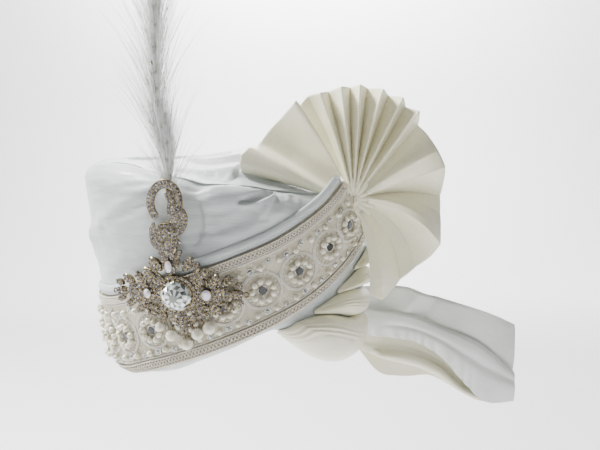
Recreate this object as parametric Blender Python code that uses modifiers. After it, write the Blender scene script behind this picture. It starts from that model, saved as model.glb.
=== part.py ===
"""Tied turban pagri with an embroidered band, a jewelled brooch and plume, a pleated fan and a tail.

Front is -Y, the wearer's left is +X and up is +Z. The origin is the centre of the head opening.
Lengths in this file are millimetres until MM turns them into metres.
"""
import math

import bmesh
import bpy
from mathutils import Matrix, Vector

MM = 0.001
GAP = 0.35                  # clearance between touching pieces

# Crown: a wound drum with a padded wall
OPENING_WIDTH = 164.0       # head opening, side to side
OPENING_DEPTH = 196.0       # head opening, front to back
WALL = 20.0                 # wound wall at the rim
EDGE_ROUND = 12.0           # rolled outer edge of the rim
FLARE = 0.12                # growth of the drum's radius with height
CROWN_HEIGHT = 159.0
CAVITY_HEIGHT = 130.0
SHOULDER_ROUND = 15.0
# height of the rim's underside by angle, as a share of the crown's height: it climbs with the band,
# then drops behind the tucked rolls
RIM = [(-180, 0.044), (-120, 0.0189), (-60, 0.0), (-5, 0.0), (11, 0.0346), (25, 0.0975), (36, 0.1447),
       (48, 0.2013), (54, 0.217), (60, 0.1887), (68, 0.1289), (76, 0.0818), (84, 0.0503), (92, 0.0409),
       (100, 0.0503), (112, 0.0629), (150, 0.0503), (180, 0.044)]
# angle from the front to the wearer's left, height of the top edge as a share of the crown's height
SHOULDER = [(-180, 0.975), (-110, 0.99), (-50, 1.0), (-8, 1.0), (10, 0.96), (26, 0.925), (45, 0.90),
            (62, 0.865), (82, 0.85), (100, 0.87), (125, 0.93), (155, 0.97), (180, 0.975)]
# folds and dents: angle and height share of each end, width, lift
FOLDS = [(-34, 0.66, 6, 0.80, 9.0, 2.6), (24, 0.92, 28, 0.68, 9.0, -5.5),
         (32, 0.80, 44, 0.84, 6.0, -3.5), (-75, 0.45, -38, 0.62, 11.0, 3.0),
         (-150, 0.45, -95, 0.75, 12.0, 4.0), (140, 0.50, 175, 0.78, 12.0, 4.0),
         (150, 0.22, 178, 0.30, 12.0, 3.0), (-120, 0.86, -60, 0.80, 10.0, -2.5)]

# Wrap layers that cross the top: angle, share of the top's radius
TOP_FOLDS = [[(12, 0.76), (40, 0.73), (75, 0.66), (115, 0.68), (150, 0.74), (185, 0.78), (215, 0.74)],
             [(-20, 0.40), (20, 0.45), (70, 0.38), (120, 0.40), (165, 0.48), (200, 0.42)]]
TOP_FOLD_WIDTH = 25.0
TOP_FOLD_HEIGHT = 8.0
# Front wrap layer: angle, height share of its upper lip
FRONT_LIP = [(22, 0.64), (26, 0.73), (33, 0.795), (41, 0.815), (48, 0.83), (55, 0.84), (61, 0.83)]
LAYER_WALL = 2.2

# Band: centre line as angle and distance up the wall, as a share of the crown's height
BAND_LINE = [(-206, 0.1698), (-150, 0.1635), (-90, 0.1635), (-50, 0.1761), (-22, 0.2044), (-5, 0.2516),
             (20, 0.3553), (46, 0.478), (59, 0.5472), (71, 0.6352), (81, 0.7264), (88, 0.8176),
             (90, 0.8491)]
BAND_WIDTH = 62.0
BAND_WALL = 2.0
BAND_TUCK = 2.0             # how near the band's low edge comes to the rim's middle
ROLL_SLACK = 0.5            # extra room where the band bends under the rim
SLACK_FADE = 5.0            # distance over which that room fades out above the bend
BARE_ABOVE = 14.0           # height over which the crown's folds begin above the band
BINDING_WIDTH = 8.5
BINDING_HEIGHT = 2.6
LACE_WIDTH = 6.5
LACE_WALL = 1.2
LACE_INSET = 3.0            # plain strip outside the lower lace
FLOWER_PITCH = 28.5
FLOWER_ORIGIN = -10.3       # angle of the flower that the pitch is counted from
FLOWERS = [-0.85, 0, 4.1, 5.1, 6.1, 6.92, 7.8]    # pitches along the band, closer at its gathered end
PEARLS = 8
PEARL = 4.0
MIRROR = 5.8
FLOWER_BASE = 0.9
PEARL_SPACE = 2.6           # room between the mirror and its pearls

# Brooch: origin on the wall, then x to the wearer's left and y up the wall
BROOCH_ANGLE = 17.1
BROOCH_ABOVE = 21.0         # how far its centre lies above the band's centre line
BROOCH_LIFT = 3 * GAP + BAND_WALL + LACE_WALL + ROLL_SLACK / 2
BROOCH_BEND = 170.0         # radius of the brooch's gentle curve
BROOCH_PLATE = 2.0
SETTING = 28.0              # diameter of the centre stone's ring
STONE = 22.5
STONE_HEIGHT = 7.0
# leaves of the left half, which is mirrored, and of the middle: x, y, turn, length, width, height
LEAVES = [(18, 0, 0, 13, 7.5, 3.4), (29, 1, 0, 15, 8.0, 3.2), (41, 0, 0, 13, 6.0, 2.6),
          (34, 8, 32, 14, 6.5, 2.6), (21, 15, 48, 18, 8.0, 3.2), (30, -8, -32, 16, 6.5, 2.8),
          (16.5, -13.5, -58, 12, 6.5, 2.8)]
MIDDLE_LEAVES = [(-3.5, 19, 88, 16, 8.0, 3.6), (7, 22.5, 62, 14, 6.5, 3.0), (-11.5, 22, 120, 14, 6.5, 3.0),
                 (-2, 30.5, 90, 12, 9.0, 3.2), (1, -19, 90, 15, 8.5, 3.2), (4, -27, 100, 9, 5.5, 2.8)]
# arms of the star's plate: tips of its left half, which is mirrored, and of its middle
STAR_ARMS = [(44, 0), (36, 9), (21, 19), (33, -10), (19, -18)]
STAR_MIDDLE = [(8.5, 26), (-2.5, 34.5), (-11.5, 25)]
STAR_WAIST = 11.0
ARM_MERGE = 8.0             # degrees; nearer arms have no notch between them
# swan: centre lines in x, y
SWAN_NECK = [(-10.8, 57.5), (-13.6, 64.0), (-12.4, 73.0), (-7.2, 79.0), (-1.2, 80.6), (4.1, 77.5),
             (6.2, 70.5), (5.8, 62.5), (2.8, 55.5), (-3.6, 48.0)]
SWAN_WING = [(-0.6, 74.0), (1.4, 68.0), (0.4, 60.0), (6.9, 62.5), (9.6, 56.5), (7.6, 50.0), (1.6, 43.5)]
SWAN_BODY = [(-4.8, 44.5, 9.5), (-3.2, 35.0, 5.5), (-10.8, 57.5, 3.6)]
SWAN_WIRE = 2.6
# drop pearls: x, y, diameter
DROPS = [(-14.2, -24.6, 7.6), (-5.8, -30.4, 9.0), (5.3, -36.8, 9.0), (13.4, -28.8, 9.0), (22.2, -24.0, 9.6)]

# Plume: height above its ferrule, then locks as start share, lean at the tip, length share, width
PLUME = 158.0
PLUME_LEAN = -7.0
PLUME_FOOT = (-1.6, 74.0)
FERRULE = 6.0
LOCKS = [(0.0, 0.0, 1.0, 13.0), (0.01, -22.0, 0.92, 11.0), (0.02, 18.0, 0.88, 11.5),
         (0.03, -38.0, 0.72, 9.0), (0.04, 33.0, 0.72, 9.5), (0.30, -30.0, 0.55, 8.0), (0.34, 26.0, 0.62, 8.5)]

# Fan: hub on the wall, facing partly to the wearer's left
FAN_FACE = 30.0
FAN_ANGLE = 80.0
FAN_ABOVE = 3.5             # how far the hub lies above the end of the band's centre line
FAN_LIFT = 9.0
FAN_RADIUS = 86.0
FAN_THROAT = 14.0
FAN_SET = 4.9               # how far the pleats' plane stands behind the band's end
FAN_WALL = 1.8
PLEAT_DEPTH = 7.5
# pleats: direction, reach as a share of the radius, forward depth as a share of the pleat depth
PLEATS = [(124, 0.97, -0.6), (119, 1.00, 0.8), (113, 0.98, -0.9), (107, 0.97, 0.9), (101, 0.98, -1.0),
          (95, 0.99, 1.0), (90, 0.96, -1.0), (84, 0.96, 1.0), (77, 0.98, -1.0), (70, 0.97, 1.1),
          (62, 0.93, -1.0), (55.5, 0.94, 1.1), (46, 0.85, -1.1), (36, 0.83, 0.5), (27, 0.83, 1.5),
          (16, 0.80, 0.8), (6, 0.78, -1.1), (-8, 0.80, -0.5), (-20, 0.83, 1.0), (-34, 0.85, 1.2),
          (-47, 0.84, -0.2), (-60, 0.86, -0.9), (-71, 0.91, 0.9), (-79, 0.85, 0.3)]
# rolled loop at the fan's left: direction, reach share, forward depth
LOOP = [(159, 1.06, 4.0), (152, 0.98, 11.0), (143, 0.97, 15.0), (133, 0.98, 13.0), (122, 1.01, 0.0)]
LOOP_THROAT = 29.0
LOOP_FORWARD = 3.1

TUCK_FOOT = 0.95            # clearance between a tucked roll and the wall
# Tucked rolls under the band: angle, low and high edge as shares of the crown's height, bulge
TUCKS = [[(55, 0.2264, 0.2453, 3), (61, 0.1698, 0.2579, 9), (68, 0.1132, 0.2704, 13),
          (76, 0.0755, 0.2642, 15), (84, 0.0472, 0.2327, 15.5), (92, 0.0377, 0.2013, 15),
          (99, 0.0503, 0.195, 14), (106, 0.0755, 0.1887, 10), (112, 0.1195, 0.1635, 3)],
         [(69, 0.283, 0.3019, 3), (75, 0.2704, 0.327, 8), (82, 0.2516, 0.3522, 11.5),
          (90, 0.217, 0.3522, 12.5), (98, 0.2075, 0.3333, 12), (105, 0.2075, 0.3208, 9),
          (112, 0.2264, 0.2893, 3)],
         [(81, 0.3585, 0.3742, 3), (87, 0.3616, 0.4088, 8), (94, 0.3616, 0.4403, 10.5),
          (102, 0.3491, 0.4465, 10), (108, 0.3428, 0.4277, 7), (113, 0.3459, 0.4025, 3)],
         [(92, 0.4497, 0.4654, 2.5), (98, 0.456, 0.5031, 7), (104, 0.4623, 0.5409, 9),
          (110, 0.4528, 0.5346, 7), (115, 0.4528, 0.4969, 3)]]

# Tail: distance out from the wall and height of each edge
TAIL_ANGLE = 118.0
TAIL_FACE = 30.0
TAIL_WALL = 1.8
TAIL_LAYER = 5.0            # depth between the tail's sheets
TAIL_WAVE = 3.0
TAIL_BOW = 2.0
TAIL_TURN = 2.5             # how far the main sheet lies below the fold's top edge
TAIL_LENGTH = 142.0
# station share of the length, top edge, fold edge, low edge of the main sheet, hem of the inner sheet
TAIL = [(0.0, 46.0, 29.0, 5.0, -10.0), (0.12, 46.0, 26.0, 3.0, -30.0), (0.27, 45.0, 22.5, 0.6, -39.0),
        (0.42, 37.5, 16.0, -5.5, -37.0), (0.55, 32.5, 9.0, -18.0, -42.0), (0.70, 26.5, 1.0, -42.0, -54.0),
        (0.82, 21.0, -9.0, -57.0, -58.0), (1.0, 11.0, -31.0, -57.0, -58.0)]


def clear_scene():
    """Remove whatever the file holds."""
    for thing in list(bpy.data.objects):
        bpy.data.objects.remove(thing, do_unlink=True)


def collection(name):
    """New collection in the scene."""
    group = bpy.data.collections.new(name)
    bpy.context.scene.collection.children.link(group)
    return group


def finish(name, colour, roughness, metallic=0.0):
    """Material with a colour, roughness and metallic value."""
    made = bpy.data.materials.get(name)
    if made is None:
        made = bpy.data.materials.new(name)
        made.use_nodes = True
        shader = made.node_tree.nodes["Principled BSDF"]
        shader.inputs["Base Color"].default_value = (*colour, 1.0)
        shader.inputs["Roughness"].default_value = roughness
        shader.inputs["Metallic"].default_value = metallic
    return made


def satin():
    return finish("white satin", (0.83, 0.84, 0.85), 0.42)


def ivory():
    return finish("ivory satin", (0.86, 0.83, 0.72), 0.45)


def embroidery():
    return finish("embroidered net", (0.76, 0.70, 0.60), 0.75)


def lace():
    return finish("lace", (0.80, 0.76, 0.70), 0.7)


def pearl():
    return finish("pearl", (0.90, 0.87, 0.80), 0.25)


def antique_gold():
    return finish("antique gold", (0.55, 0.47, 0.36), 0.35, 1.0)


def glass():
    return finish("cut glass", (0.80, 0.84, 0.88), 0.05)


def feather():
    return finish("feather", (0.88, 0.89, 0.90), 0.8)


def table_value(rows, key, column=1):
    """Smooth value of a table's column at a key in its first column."""
    if key <= rows[0][0]:
        return rows[0][column]
    for index in range(len(rows) - 1):
        start, end = rows[index], rows[index + 1]
        if key <= end[0]:
            before = rows[max(index - 1, 0)]
            after = rows[min(index + 2, len(rows) - 1)]
            span = end[0] - start[0]
            t = (key - start[0]) / span
            slope_in = (end[column] - before[column]) / (end[0] - before[0]) * span
            slope_out = (after[column] - start[column]) / (after[0] - start[0]) * span
            bend = 2 * (start[column] - end[column]) + slope_in + slope_out
            sag = 3 * (end[column] - start[column]) - 2 * slope_in - slope_out
            return start[column] + (slope_in + (sag + bend * t) * t) * t
    return rows[-1][column]


def smooth_path(points, count):
    """Evenly spaced points of a smooth curve through the given ones."""
    dense = []
    steps = 12
    for index in range(len(points) - 1):
        before = points[max(index - 1, 0)]
        start, end = points[index], points[index + 1]
        after = points[min(index + 2, len(points) - 1)]
        for step in range(steps):
            t = step / steps
            dense.append([0.5 * (2 * b + (c - a) * t + (2 * a - 5 * b + 4 * c - d) * t * t
                                 + (3 * b - a - 3 * c + d) * t ** 3)
                          for a, b, c, d in zip(before, start, end, after)])
    dense.append(list(points[-1]))
    reach = [0.0]
    for start, end in zip(dense, dense[1:]):
        reach.append(reach[-1] + math.dist(start, end))
    result = []
    index = 0
    for number in range(count):
        goal = reach[-1] * number / (count - 1)
        while index < len(dense) - 2 and reach[index + 1] < goal:
            index += 1
        span = reach[index + 1] - reach[index]
        share = (goal - reach[index]) / span if span else 0.0
        result.append([a + (b - a) * share for a, b in zip(dense[index], dense[index + 1])])
    return result


def plan_point(angle, reach, height, share=1.0):
    """Point on the drum's oval, grown by reach and shrunk to a share of its radius."""
    turn = math.radians(angle)
    wide = (OPENING_WIDTH / 2 + WALL + reach) * share
    deep = (OPENING_DEPTH / 2 + WALL + reach) * share
    return Vector((wide * math.sin(turn), -deep * math.cos(turn), height))


ROLL = EDGE_ROUND * math.pi / 2     # length of the rolled edge


def rim_height(angle):
    """Height of the rim's underside."""
    return table_value(RIM, wrapped(angle)) * CROWN_HEIGHT


def wall_height(rise):
    """Height of a point that lies a distance up the wall, past the rolled edge."""
    return EDGE_ROUND + rise - ROLL


def wall_rise(height, angle=None):
    """Distance up the wall of a height, also on the rolled edge where an angle is given."""
    if angle is not None and height < rim_height(angle) + EDGE_ROUND:
        share = max((height - rim_height(angle)) / EDGE_ROUND, 0.0)
        return rim_height(angle) + ROLL * share
    return height - EDGE_ROUND + ROLL


def wall_point(angle, rise, lift=0.0):
    """Point above the wall: around it, up it from a level rim's underside, and out from it."""
    rim = rim_height(angle)
    if rise < rim + ROLL:
        tilt = (rim + ROLL - rise) / EDGE_ROUND
        reach = (EDGE_ROUND + lift) * math.cos(tilt) - EDGE_ROUND + FLARE * rim
        return plan_point(angle, reach, rim + EDGE_ROUND - (EDGE_ROUND + lift) * math.sin(tilt))
    height = wall_height(rise)
    return plan_point(angle, FLARE * (height - EDGE_ROUND) + lift, height)


def arc_scale(rise):
    """Millimetres around the wall for one degree."""
    height = max(wall_height(rise), EDGE_ROUND)
    mean = (OPENING_WIDTH + OPENING_DEPTH) / 4 + WALL + FLARE * (height - EDGE_ROUND)
    return mean * math.pi / 180


def band_top():
    """Height of the binding's top edge by angle, then of the tucked rolls that follow the band."""
    rows = []
    for station in band_stations(60):
        point = band_point(station, BAND_WIDTH / 2 + BINDING_WIDTH, 0.0)
        wide = OPENING_WIDTH / 2 + WALL + FLARE * (point.z - EDGE_ROUND)
        deep = OPENING_DEPTH / 2 + WALL + FLARE * (point.z - EDGE_ROUND)
        rows.append((math.degrees(math.atan2(point.x / wide, -point.y / deep)), point.z))
    rows = sorted(row for row in rows if row[0] < rows[-1][0] + 0.1 or row[0] > 150)
    return rows


BAND_TOP = []               # filled before the crown is made


def fold_lift(angle, height):
    """Relief of the crown's folds and dents, which begins above the band."""
    total = 0.0
    room = (height - table_value(BAND_TOP, angle)) / BARE_ABOVE
    for angle_a, share_a, angle_b, share_b, width, lift in FOLDS:
        scale = arc_scale(wall_rise(height))
        across = ((angle_b - angle_a) * scale, (share_b - share_a) * CROWN_HEIGHT)
        offset = ((angle - angle_a) * scale, height - share_a * CROWN_HEIGHT)
        length = across[0] ** 2 + across[1] ** 2
        along = (offset[0] * across[0] + offset[1] * across[1]) / length
        near = min(max(along, 0.0), 1.0)
        gap = math.hypot(offset[0] - near * across[0], offset[1] - near * across[1])
        total += lift * math.exp(-(gap / width) ** 2)
    return total * min(max(room, 0.0), 1.0)


def top_height(angle, share):
    """Height of the crown's top between its shoulder and its middle."""
    edge = table_value(SHOULDER, wrapped(angle)) * CROWN_HEIGHT
    ease = 1 - share * share
    return edge + (CROWN_HEIGHT - edge) * ease


def wrapped(angle):
    """Angle between -180 and 180."""
    return (angle + 180) % 360 - 180


def mesh_object(name, mesh, group, material):
    """Object of a mesh, in metres, with a material."""
    mesh.transform(Matrix.Scale(MM, 4))
    mesh.materials.append(material)
    thing = bpy.data.objects.new(name, mesh)
    group.objects.link(thing)
    return thing


def smooth_shade(thing, angle=40):
    """Shade round pieces smooth."""
    thing.data.shade_smooth()
    thing.data.set_sharp_from_angle(angle=math.radians(angle))


def loft(name, sections, group, material, start=None, end=None):
    """Closed body through closed sections, with a flat cap or a pole at each end."""
    shape = bmesh.new()
    rings = [[shape.verts.new(point) for point in section] for section in sections]
    for ring_a, ring_b in zip(rings, rings[1:]):
        count = len(ring_a)
        for index in range(count):
            after = (index + 1) % count
            shape.faces.new((ring_a[index], ring_a[after], ring_b[after], ring_b[index]))
    for ring, pole in ((rings[0], start), (rings[-1], end)):
        if pole is None:
            shape.faces.new(ring)
        else:
            tip = shape.verts.new(pole)
            for index, vert in enumerate(ring):
                shape.faces.new((vert, ring[(index + 1) % len(ring)], tip))
    bmesh.ops.recalc_face_normals(shape, faces=shape.faces)
    mesh = bpy.data.meshes.new(name)
    shape.to_mesh(mesh)
    shape.free()
    thing = mesh_object(name, mesh, group, material)
    smooth_shade(thing)
    return thing


def grid(name, rows, wall, group, material):
    """Sheet through rows of points, thickened evenly on both sides."""
    shape = bmesh.new()
    verts = [[shape.verts.new(point) for point in row] for row in rows]
    for row_a, row_b in zip(verts, verts[1:]):
        for index in range(len(row_a) - 1):
            shape.faces.new((row_a[index], row_a[index + 1], row_b[index + 1], row_b[index]))
    mesh = bpy.data.meshes.new(name)
    shape.to_mesh(mesh)
    shape.free()
    thing = mesh_object(name, mesh, group, material)
    shell = thing.modifiers.new("Thickness", "SOLIDIFY")
    shell.thickness = wall * MM
    shell.offset = 0.0
    smooth_shade(thing)
    return thing


def column_angles():
    """Angles of the crown's columns, closer together where the rim and the folds change."""
    angles = []
    angle = -180.0
    while angle < 179.0:
        angles.append(angle)
        angle += 5.5 if -30 < angle < 100 else 11.0
    return angles


def crown(group):
    """Wound drum: outer wall, shoulder and top, then the head hollow inside."""
    angles = column_angles()
    rows = [[wall_point(angle, rim_height(angle) + rise) for angle in angles]
            for rise in (0.0, ROLL / 2, ROLL)]
    for share in (0.0, 0.25, 0.5, 0.75, 1.0):
        row = []
        for angle in angles:
            top = table_value(SHOULDER, angle) * CROWN_HEIGHT - SHOULDER_ROUND
            low = min(table_value(BAND_TOP, angle) + GAP, top - SHOULDER_ROUND)
            height = low + (top - low) * share
            row.append(wall_point(angle, wall_rise(height), fold_lift(angle, height)))
        rows.append(row)
    for tilt in (30, 60, 90):
        row = []
        for angle in angles:
            top = table_value(SHOULDER, angle) * CROWN_HEIGHT - SHOULDER_ROUND
            turn = math.radians(tilt)
            reach = FLARE * (top - EDGE_ROUND) - SHOULDER_ROUND * (1 - math.cos(turn))
            lift = fold_lift(angle, top) * math.cos(turn)
            row.append(plan_point(angle, reach + lift, top + SHOULDER_ROUND * math.sin(turn)))
        rows.append(row)
    for share in (0.72, 0.38):
        row = []
        for angle in angles:
            reach = FLARE * CROWN_HEIGHT - SHOULDER_ROUND
            row.append(plan_point(angle, reach, top_height(angle, share), share))
        rows.append(row)
    inner = []
    for tilt in (45, 90):
        turn = math.radians(tilt)
        side = WALL - EDGE_ROUND
        inner.append([plan_point(angle, FLARE * rim_height(angle) * math.cos(turn) - EDGE_ROUND
                                 - side * math.sin(turn),
                                 rim_height(angle) + side - side * math.cos(turn)) for angle in angles])
    for height, share in ((0.84, 1.0), (0.96, 0.93), (1.0, 0.78), (1.0, 0.4)):
        inner.append([plan_point(angle, -WALL, CAVITY_HEIGHT * height, share) for angle in angles])
    sections = list(reversed(inner)) + rows
    loft("crown", sections, group, satin(),
         start=Vector((0, 0, CAVITY_HEIGHT)), end=Vector((0, 0, CROWN_HEIGHT)))


def top_folds(group):
    """Rolled wrap layers that cross the crown's top."""
    for number, path in enumerate(TOP_FOLDS, 1):
        stations = smooth_path(path, 10)
        sections = []
        for index, (angle, share) in enumerate(stations):
            end = math.sin(math.pi * (index + 0.4) / (len(stations) - 0.2)) ** 0.6
            radius = (OPENING_WIDTH + OPENING_DEPTH) / 4 + WALL
            half = TOP_FOLD_WIDTH / 2 * end / radius
            reach = FLARE * CROWN_HEIGHT - SHOULDER_ROUND
            section = []
            for side, up in ((-1, 0.1), (-0.72, 0.62), (-0.2, 1.0), (0.4, 0.86), (1, 0.1)):
                spot = share + side * half
                base = top_height(angle, spot) + 2 * GAP
                section.append(plan_point(angle, reach, base + TOP_FOLD_HEIGHT * end * up, spot))
            for side in (0.5, 0.0, -0.5):
                spot = share + side * half
                section.append(plan_point(angle, reach, top_height(angle, spot) + 2 * GAP, spot))
            sections.append(section)
        loft(f"top_fold_{number}", sections, group, satin())


def band_stations(count):
    """Points along the band's centre line with the direction across it."""
    flat = []
    for angle, share in BAND_LINE:
        flat.append((angle * arc_scale(0.0), share * CROWN_HEIGHT))
    line = smooth_path(flat, count)
    stations = []
    for index, (around, rise) in enumerate(line):
        before = line[max(index - 1, 0)]
        after = line[min(index + 1, count - 1)]
        step = Vector((after[0] - before[0], after[1] - before[1])).normalized()
        stations.append((around, rise, -step.y, step.x))
    return stations


def band_point(station, across, lift):
    """Point over the band: a distance across its centre line and out from the wall."""
    around, rise, side_x, side_y = station
    angle = (around + side_x * across) / arc_scale(0.0)
    rim = rim_height(angle)
    up = max(rise + side_y * across, rim + BAND_TUCK + 0.02 * across)
    fade = min(max((rim + ROLL + SLACK_FADE - up) / SLACK_FADE, 0.0), 1.0)
    return wall_point(angle, up, lift + ROLL_SLACK * fade)


def band_rim(station, across):
    """Height of the rim under a place on the band."""
    return rim_height((station[0] + station[2] * across) / arc_scale(0.0))


def band_shares(station, low, high):
    """Shares across a wide strip, closer together where it bends under the rim."""
    bend = (band_rim(station, low) + ROLL - station[1]) / station[3]
    share = (bend - low) / (high - low)
    if share < 0.06:
        return (0.0, 0.25, 0.5, 0.75, 1.0)
    return (0.0, share / 3, share * 2 / 3, share, 1.0)


def strip(name, count, low, high, foot, wall, group, material):
    """Flat strip along the band between two distances across it."""
    sections = []
    for station in band_stations(count):
        shares = (0.0, 1.0)
        if high - low > BAND_WIDTH / 2:
            shares = band_shares(station, low, high)
        spots = [low + (high - low) * share for share in shares]
        under = [band_point(station, spot, foot) for spot in spots]
        over = [band_point(station, spot, foot + wall) for spot in spots]
        sections.append(under + list(reversed(over)))
    return loft(name, sections, group, material)


def band(group):
    """Embroidered band with its binding and two laces."""
    half = BAND_WIDTH / 2
    top = GAP + BAND_WALL + GAP
    strip("band", 48, -half, half, GAP, BAND_WALL, group, embroidery())
    strip("binding", 38, half + GAP, half + BINDING_WIDTH, GAP, BINDING_HEIGHT, group, satin())
    strip("lace_upper", 38, half - LACE_WIDTH, half - GAP, top + ROLL_SLACK / 2, LACE_WALL, group, lace())
    strip("lace_lower", 42, -half + LACE_INSET, -half + LACE_INSET + LACE_WIDTH, top + ROLL_SLACK * 2,
          LACE_WALL, group, lace())


def flower_frame(number):
    """Placement of a flower on the band's outer face."""
    stations = band_stations(400)
    step = math.dist(stations[0][:2], stations[1][:2])
    start = FLOWER_ORIGIN * arc_scale(0.0)
    origin = min(range(400), key=lambda index: abs(stations[index][0] - start))
    index = min(max(origin + round(number * FLOWER_PITCH / step), 1), 398)
    station = stations[index]
    lift = GAP + BAND_WALL + GAP * 1.4
    middle = band_point(station, 0.0, lift)
    along = (band_point(stations[index + 1], 0.0, lift) - middle).normalized()
    up = (band_point(station, 5.0, lift) - band_point(station, -5.0, lift)).normalized()
    out = along.cross(up).normalized()
    up = out.cross(along)
    frame = Matrix((along, up, out)).transposed().to_4x4()
    frame.translation = middle
    return frame


def primitive(name, make, group, material, place):
    """Object of a bmesh primitive, placed in millimetres."""
    shape = bmesh.new()
    make(shape)
    mesh = bpy.data.meshes.new(name)
    shape.to_mesh(mesh)
    shape.free()
    mesh.transform(place)
    return mesh_object(name, mesh, group, material)


def union(base, cutters, solver="EXACT"):
    """Fuse a collection of closed shapes into the base."""
    join = base.modifiers.new("Fuse", "BOOLEAN")
    join.operation = "UNION"
    join.operand_type = "COLLECTION"
    join.collection = cutters
    join.solver = solver


def hide(things):
    """Keep guide shapes out of the render."""
    for thing in things:
        thing.hide_render = True
        thing.display_type = "WIRE"


def cylinder(sides, low_radius, high_radius, height):
    """Maker of a cone or cylinder that stands on the ground plane."""
    def make(shape):
        bmesh.ops.create_cone(shape, cap_ends=True, segments=sides, radius1=low_radius,
                              radius2=high_radius, depth=height,
                              matrix=Matrix.Translation((0, 0, height / 2)))
    return make


def ball(sides, rings, radius):
    """Maker of a sphere."""
    def make(shape):
        bmesh.ops.create_uvsphere(shape, u_segments=sides, v_segments=rings, radius=radius)
    return make


def bead(shape):
    """Sewn pearl: ten sides, rounded to a point at the top."""
    profile = ((0.96, 0.08), (0.84, 0.70))
    rings = []
    for share, height in profile:
        turns = [math.tau * index / 10 for index in range(10)]
        rings.append([shape.verts.new((PEARL / 2 * share * math.cos(turn),
                                       PEARL / 2 * share * math.sin(turn), PEARL * height))
                      for turn in turns])
    tip = shape.verts.new((0, 0, PEARL * 0.96))
    shape.faces.new(list(reversed(rings[0])))
    for index in range(10):
        after = (index + 1) % 10
        shape.faces.new((rings[0][index], rings[0][after], rings[1][after], rings[1][index]))
        shape.faces.new((rings[1][index], rings[1][after], tip))


def flowers(group, guides):
    """Mirror with a ring of pearls, fused to a small base."""
    ring = (MIRROR + PEARL) / 2 + PEARL_SPACE
    for count, number in enumerate(FLOWERS, 1):
        frame = flower_frame(number)
        cutters = bpy.data.collections.new(f"flower_{count}_stones")
        guides.children.link(cutters)
        for index in range(PEARLS):
            turn = math.tau * index / PEARLS
            place = Matrix.Translation((ring * math.cos(turn), ring * math.sin(turn), 0.0))
            primitive(f"flower_{count}_pearl_{index}", bead, cutters, pearl(), frame @ place)
        primitive(f"flower_{count}_mirror", cylinder(8, MIRROR / 2, MIRROR / 2 - 0.6, FLOWER_BASE + 1.0),
                  cutters, glass(), frame @ Matrix.Translation((0, 0, 0.2)))
        hide(cutters.objects)
        base = primitive(f"flower_{count}", cylinder(12, ring + PEARL / 2 + GAP, ring + PEARL / 2, FLOWER_BASE),
                         group, pearl(), frame)
        union(base, cutters)


def brooch_frame(x, y, lift=0.0, turn=0.0):
    """Placement on the brooch's gently curved face."""
    rise = table_value(BAND_LINE, BROOCH_ANGLE) * CROWN_HEIGHT + BROOCH_ABOVE
    middle = wall_point(BROOCH_ANGLE, rise, BROOCH_LIFT)
    up = (wall_point(BROOCH_ANGLE, rise + BROOCH_ABOVE, BROOCH_LIFT) - middle).normalized()
    beside = wall_point(BROOCH_ANGLE + 1, rise, BROOCH_LIFT)
    out = (beside - middle).cross(up).normalized()
    along = up.cross(out)
    bend = x / BROOCH_BEND
    spot = middle + up * y + along * BROOCH_BEND * math.sin(bend)
    spot -= out * BROOCH_BEND * (1 - math.cos(bend))
    normal = (out * math.cos(bend) + along * math.sin(bend)).normalized()
    across = up.cross(normal)
    frame = Matrix((across, up, normal)).transposed().to_4x4()
    frame.translation = spot + normal * lift
    return frame @ Matrix.Rotation(math.radians(turn), 4, "Z")


def leaf(number, row, group):
    """Faceted leaf of the brooch: a stretched low cone, its foot at a depth of its own."""
    x, y, turn, length, width, height = row
    foot = BROOCH_PLATE * (0.15 + 0.015 * number)
    stretch = Matrix.Diagonal((length / 2, width / 2, height + BROOCH_PLATE * 0.5, 1))
    return primitive(f"leaf_{number}", cylinder(6, 1.0, 0.5, 1.0), group, antique_gold(),
                     brooch_frame(x, y, foot, turn) @ stretch)


def wire(name, points, radius, group, lift):
    """Round wire along points of the brooch's face, turned into a closed mesh."""
    curve = bpy.data.curves.new(name, "CURVE")
    curve.dimensions = "3D"
    curve.bevel_depth = radius * MM
    curve.bevel_resolution = 0
    curve.use_fill_caps = True
    line = curve.splines.new("POLY")
    path = smooth_path(points, 2 * len(points) - 2)
    line.points.add(len(path) - 1)
    for spot, (x, y) in zip(line.points, path):
        spot.co = (*(brooch_frame(x, y, lift).translation * MM), 1.0)
    draft = bpy.data.objects.new(name, curve)
    group.objects.link(draft)
    sight = bpy.context.evaluated_depsgraph_get()
    mesh = bpy.data.meshes.new_from_object(draft.evaluated_get(sight))
    shape = bmesh.new()
    shape.from_mesh(mesh)
    bmesh.ops.remove_doubles(shape, verts=shape.verts, dist=0.00001)
    bmesh.ops.recalc_face_normals(shape, faces=shape.faces)
    shape.to_mesh(mesh)
    shape.free()
    thing = bpy.data.objects.new(f"{name}_solid", mesh)
    thing.matrix_world = draft.matrix_world
    group.objects.link(thing)
    bpy.data.objects.remove(draft, do_unlink=True)
    return thing


def star_outline():
    """Corners of the star's plate: an arm's tip, then the waist between two arms."""
    tips = STAR_ARMS + [(-x, y) for x, y in STAR_ARMS] + STAR_MIDDLE
    for x, y, size in DROPS:
        share = 1 - (size / 2 + GAP) / math.hypot(x, y)
        tips.append((x * share, y * share))
    polar = sorted((math.atan2(y, x), math.hypot(x, y)) for x, y in tips)
    corners = []
    for index, (turn, reach) in enumerate(polar):
        after = polar[(index + 1) % len(polar)][0]
        if after < turn:
            after += math.tau
        corners.append((turn, reach))
        if after - turn > math.radians(ARM_MERGE):
            corners.append(((turn + after) / 2, STAR_WAIST))
    return [(reach * math.cos(turn), reach * math.sin(turn)) for turn, reach in corners]


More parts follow.
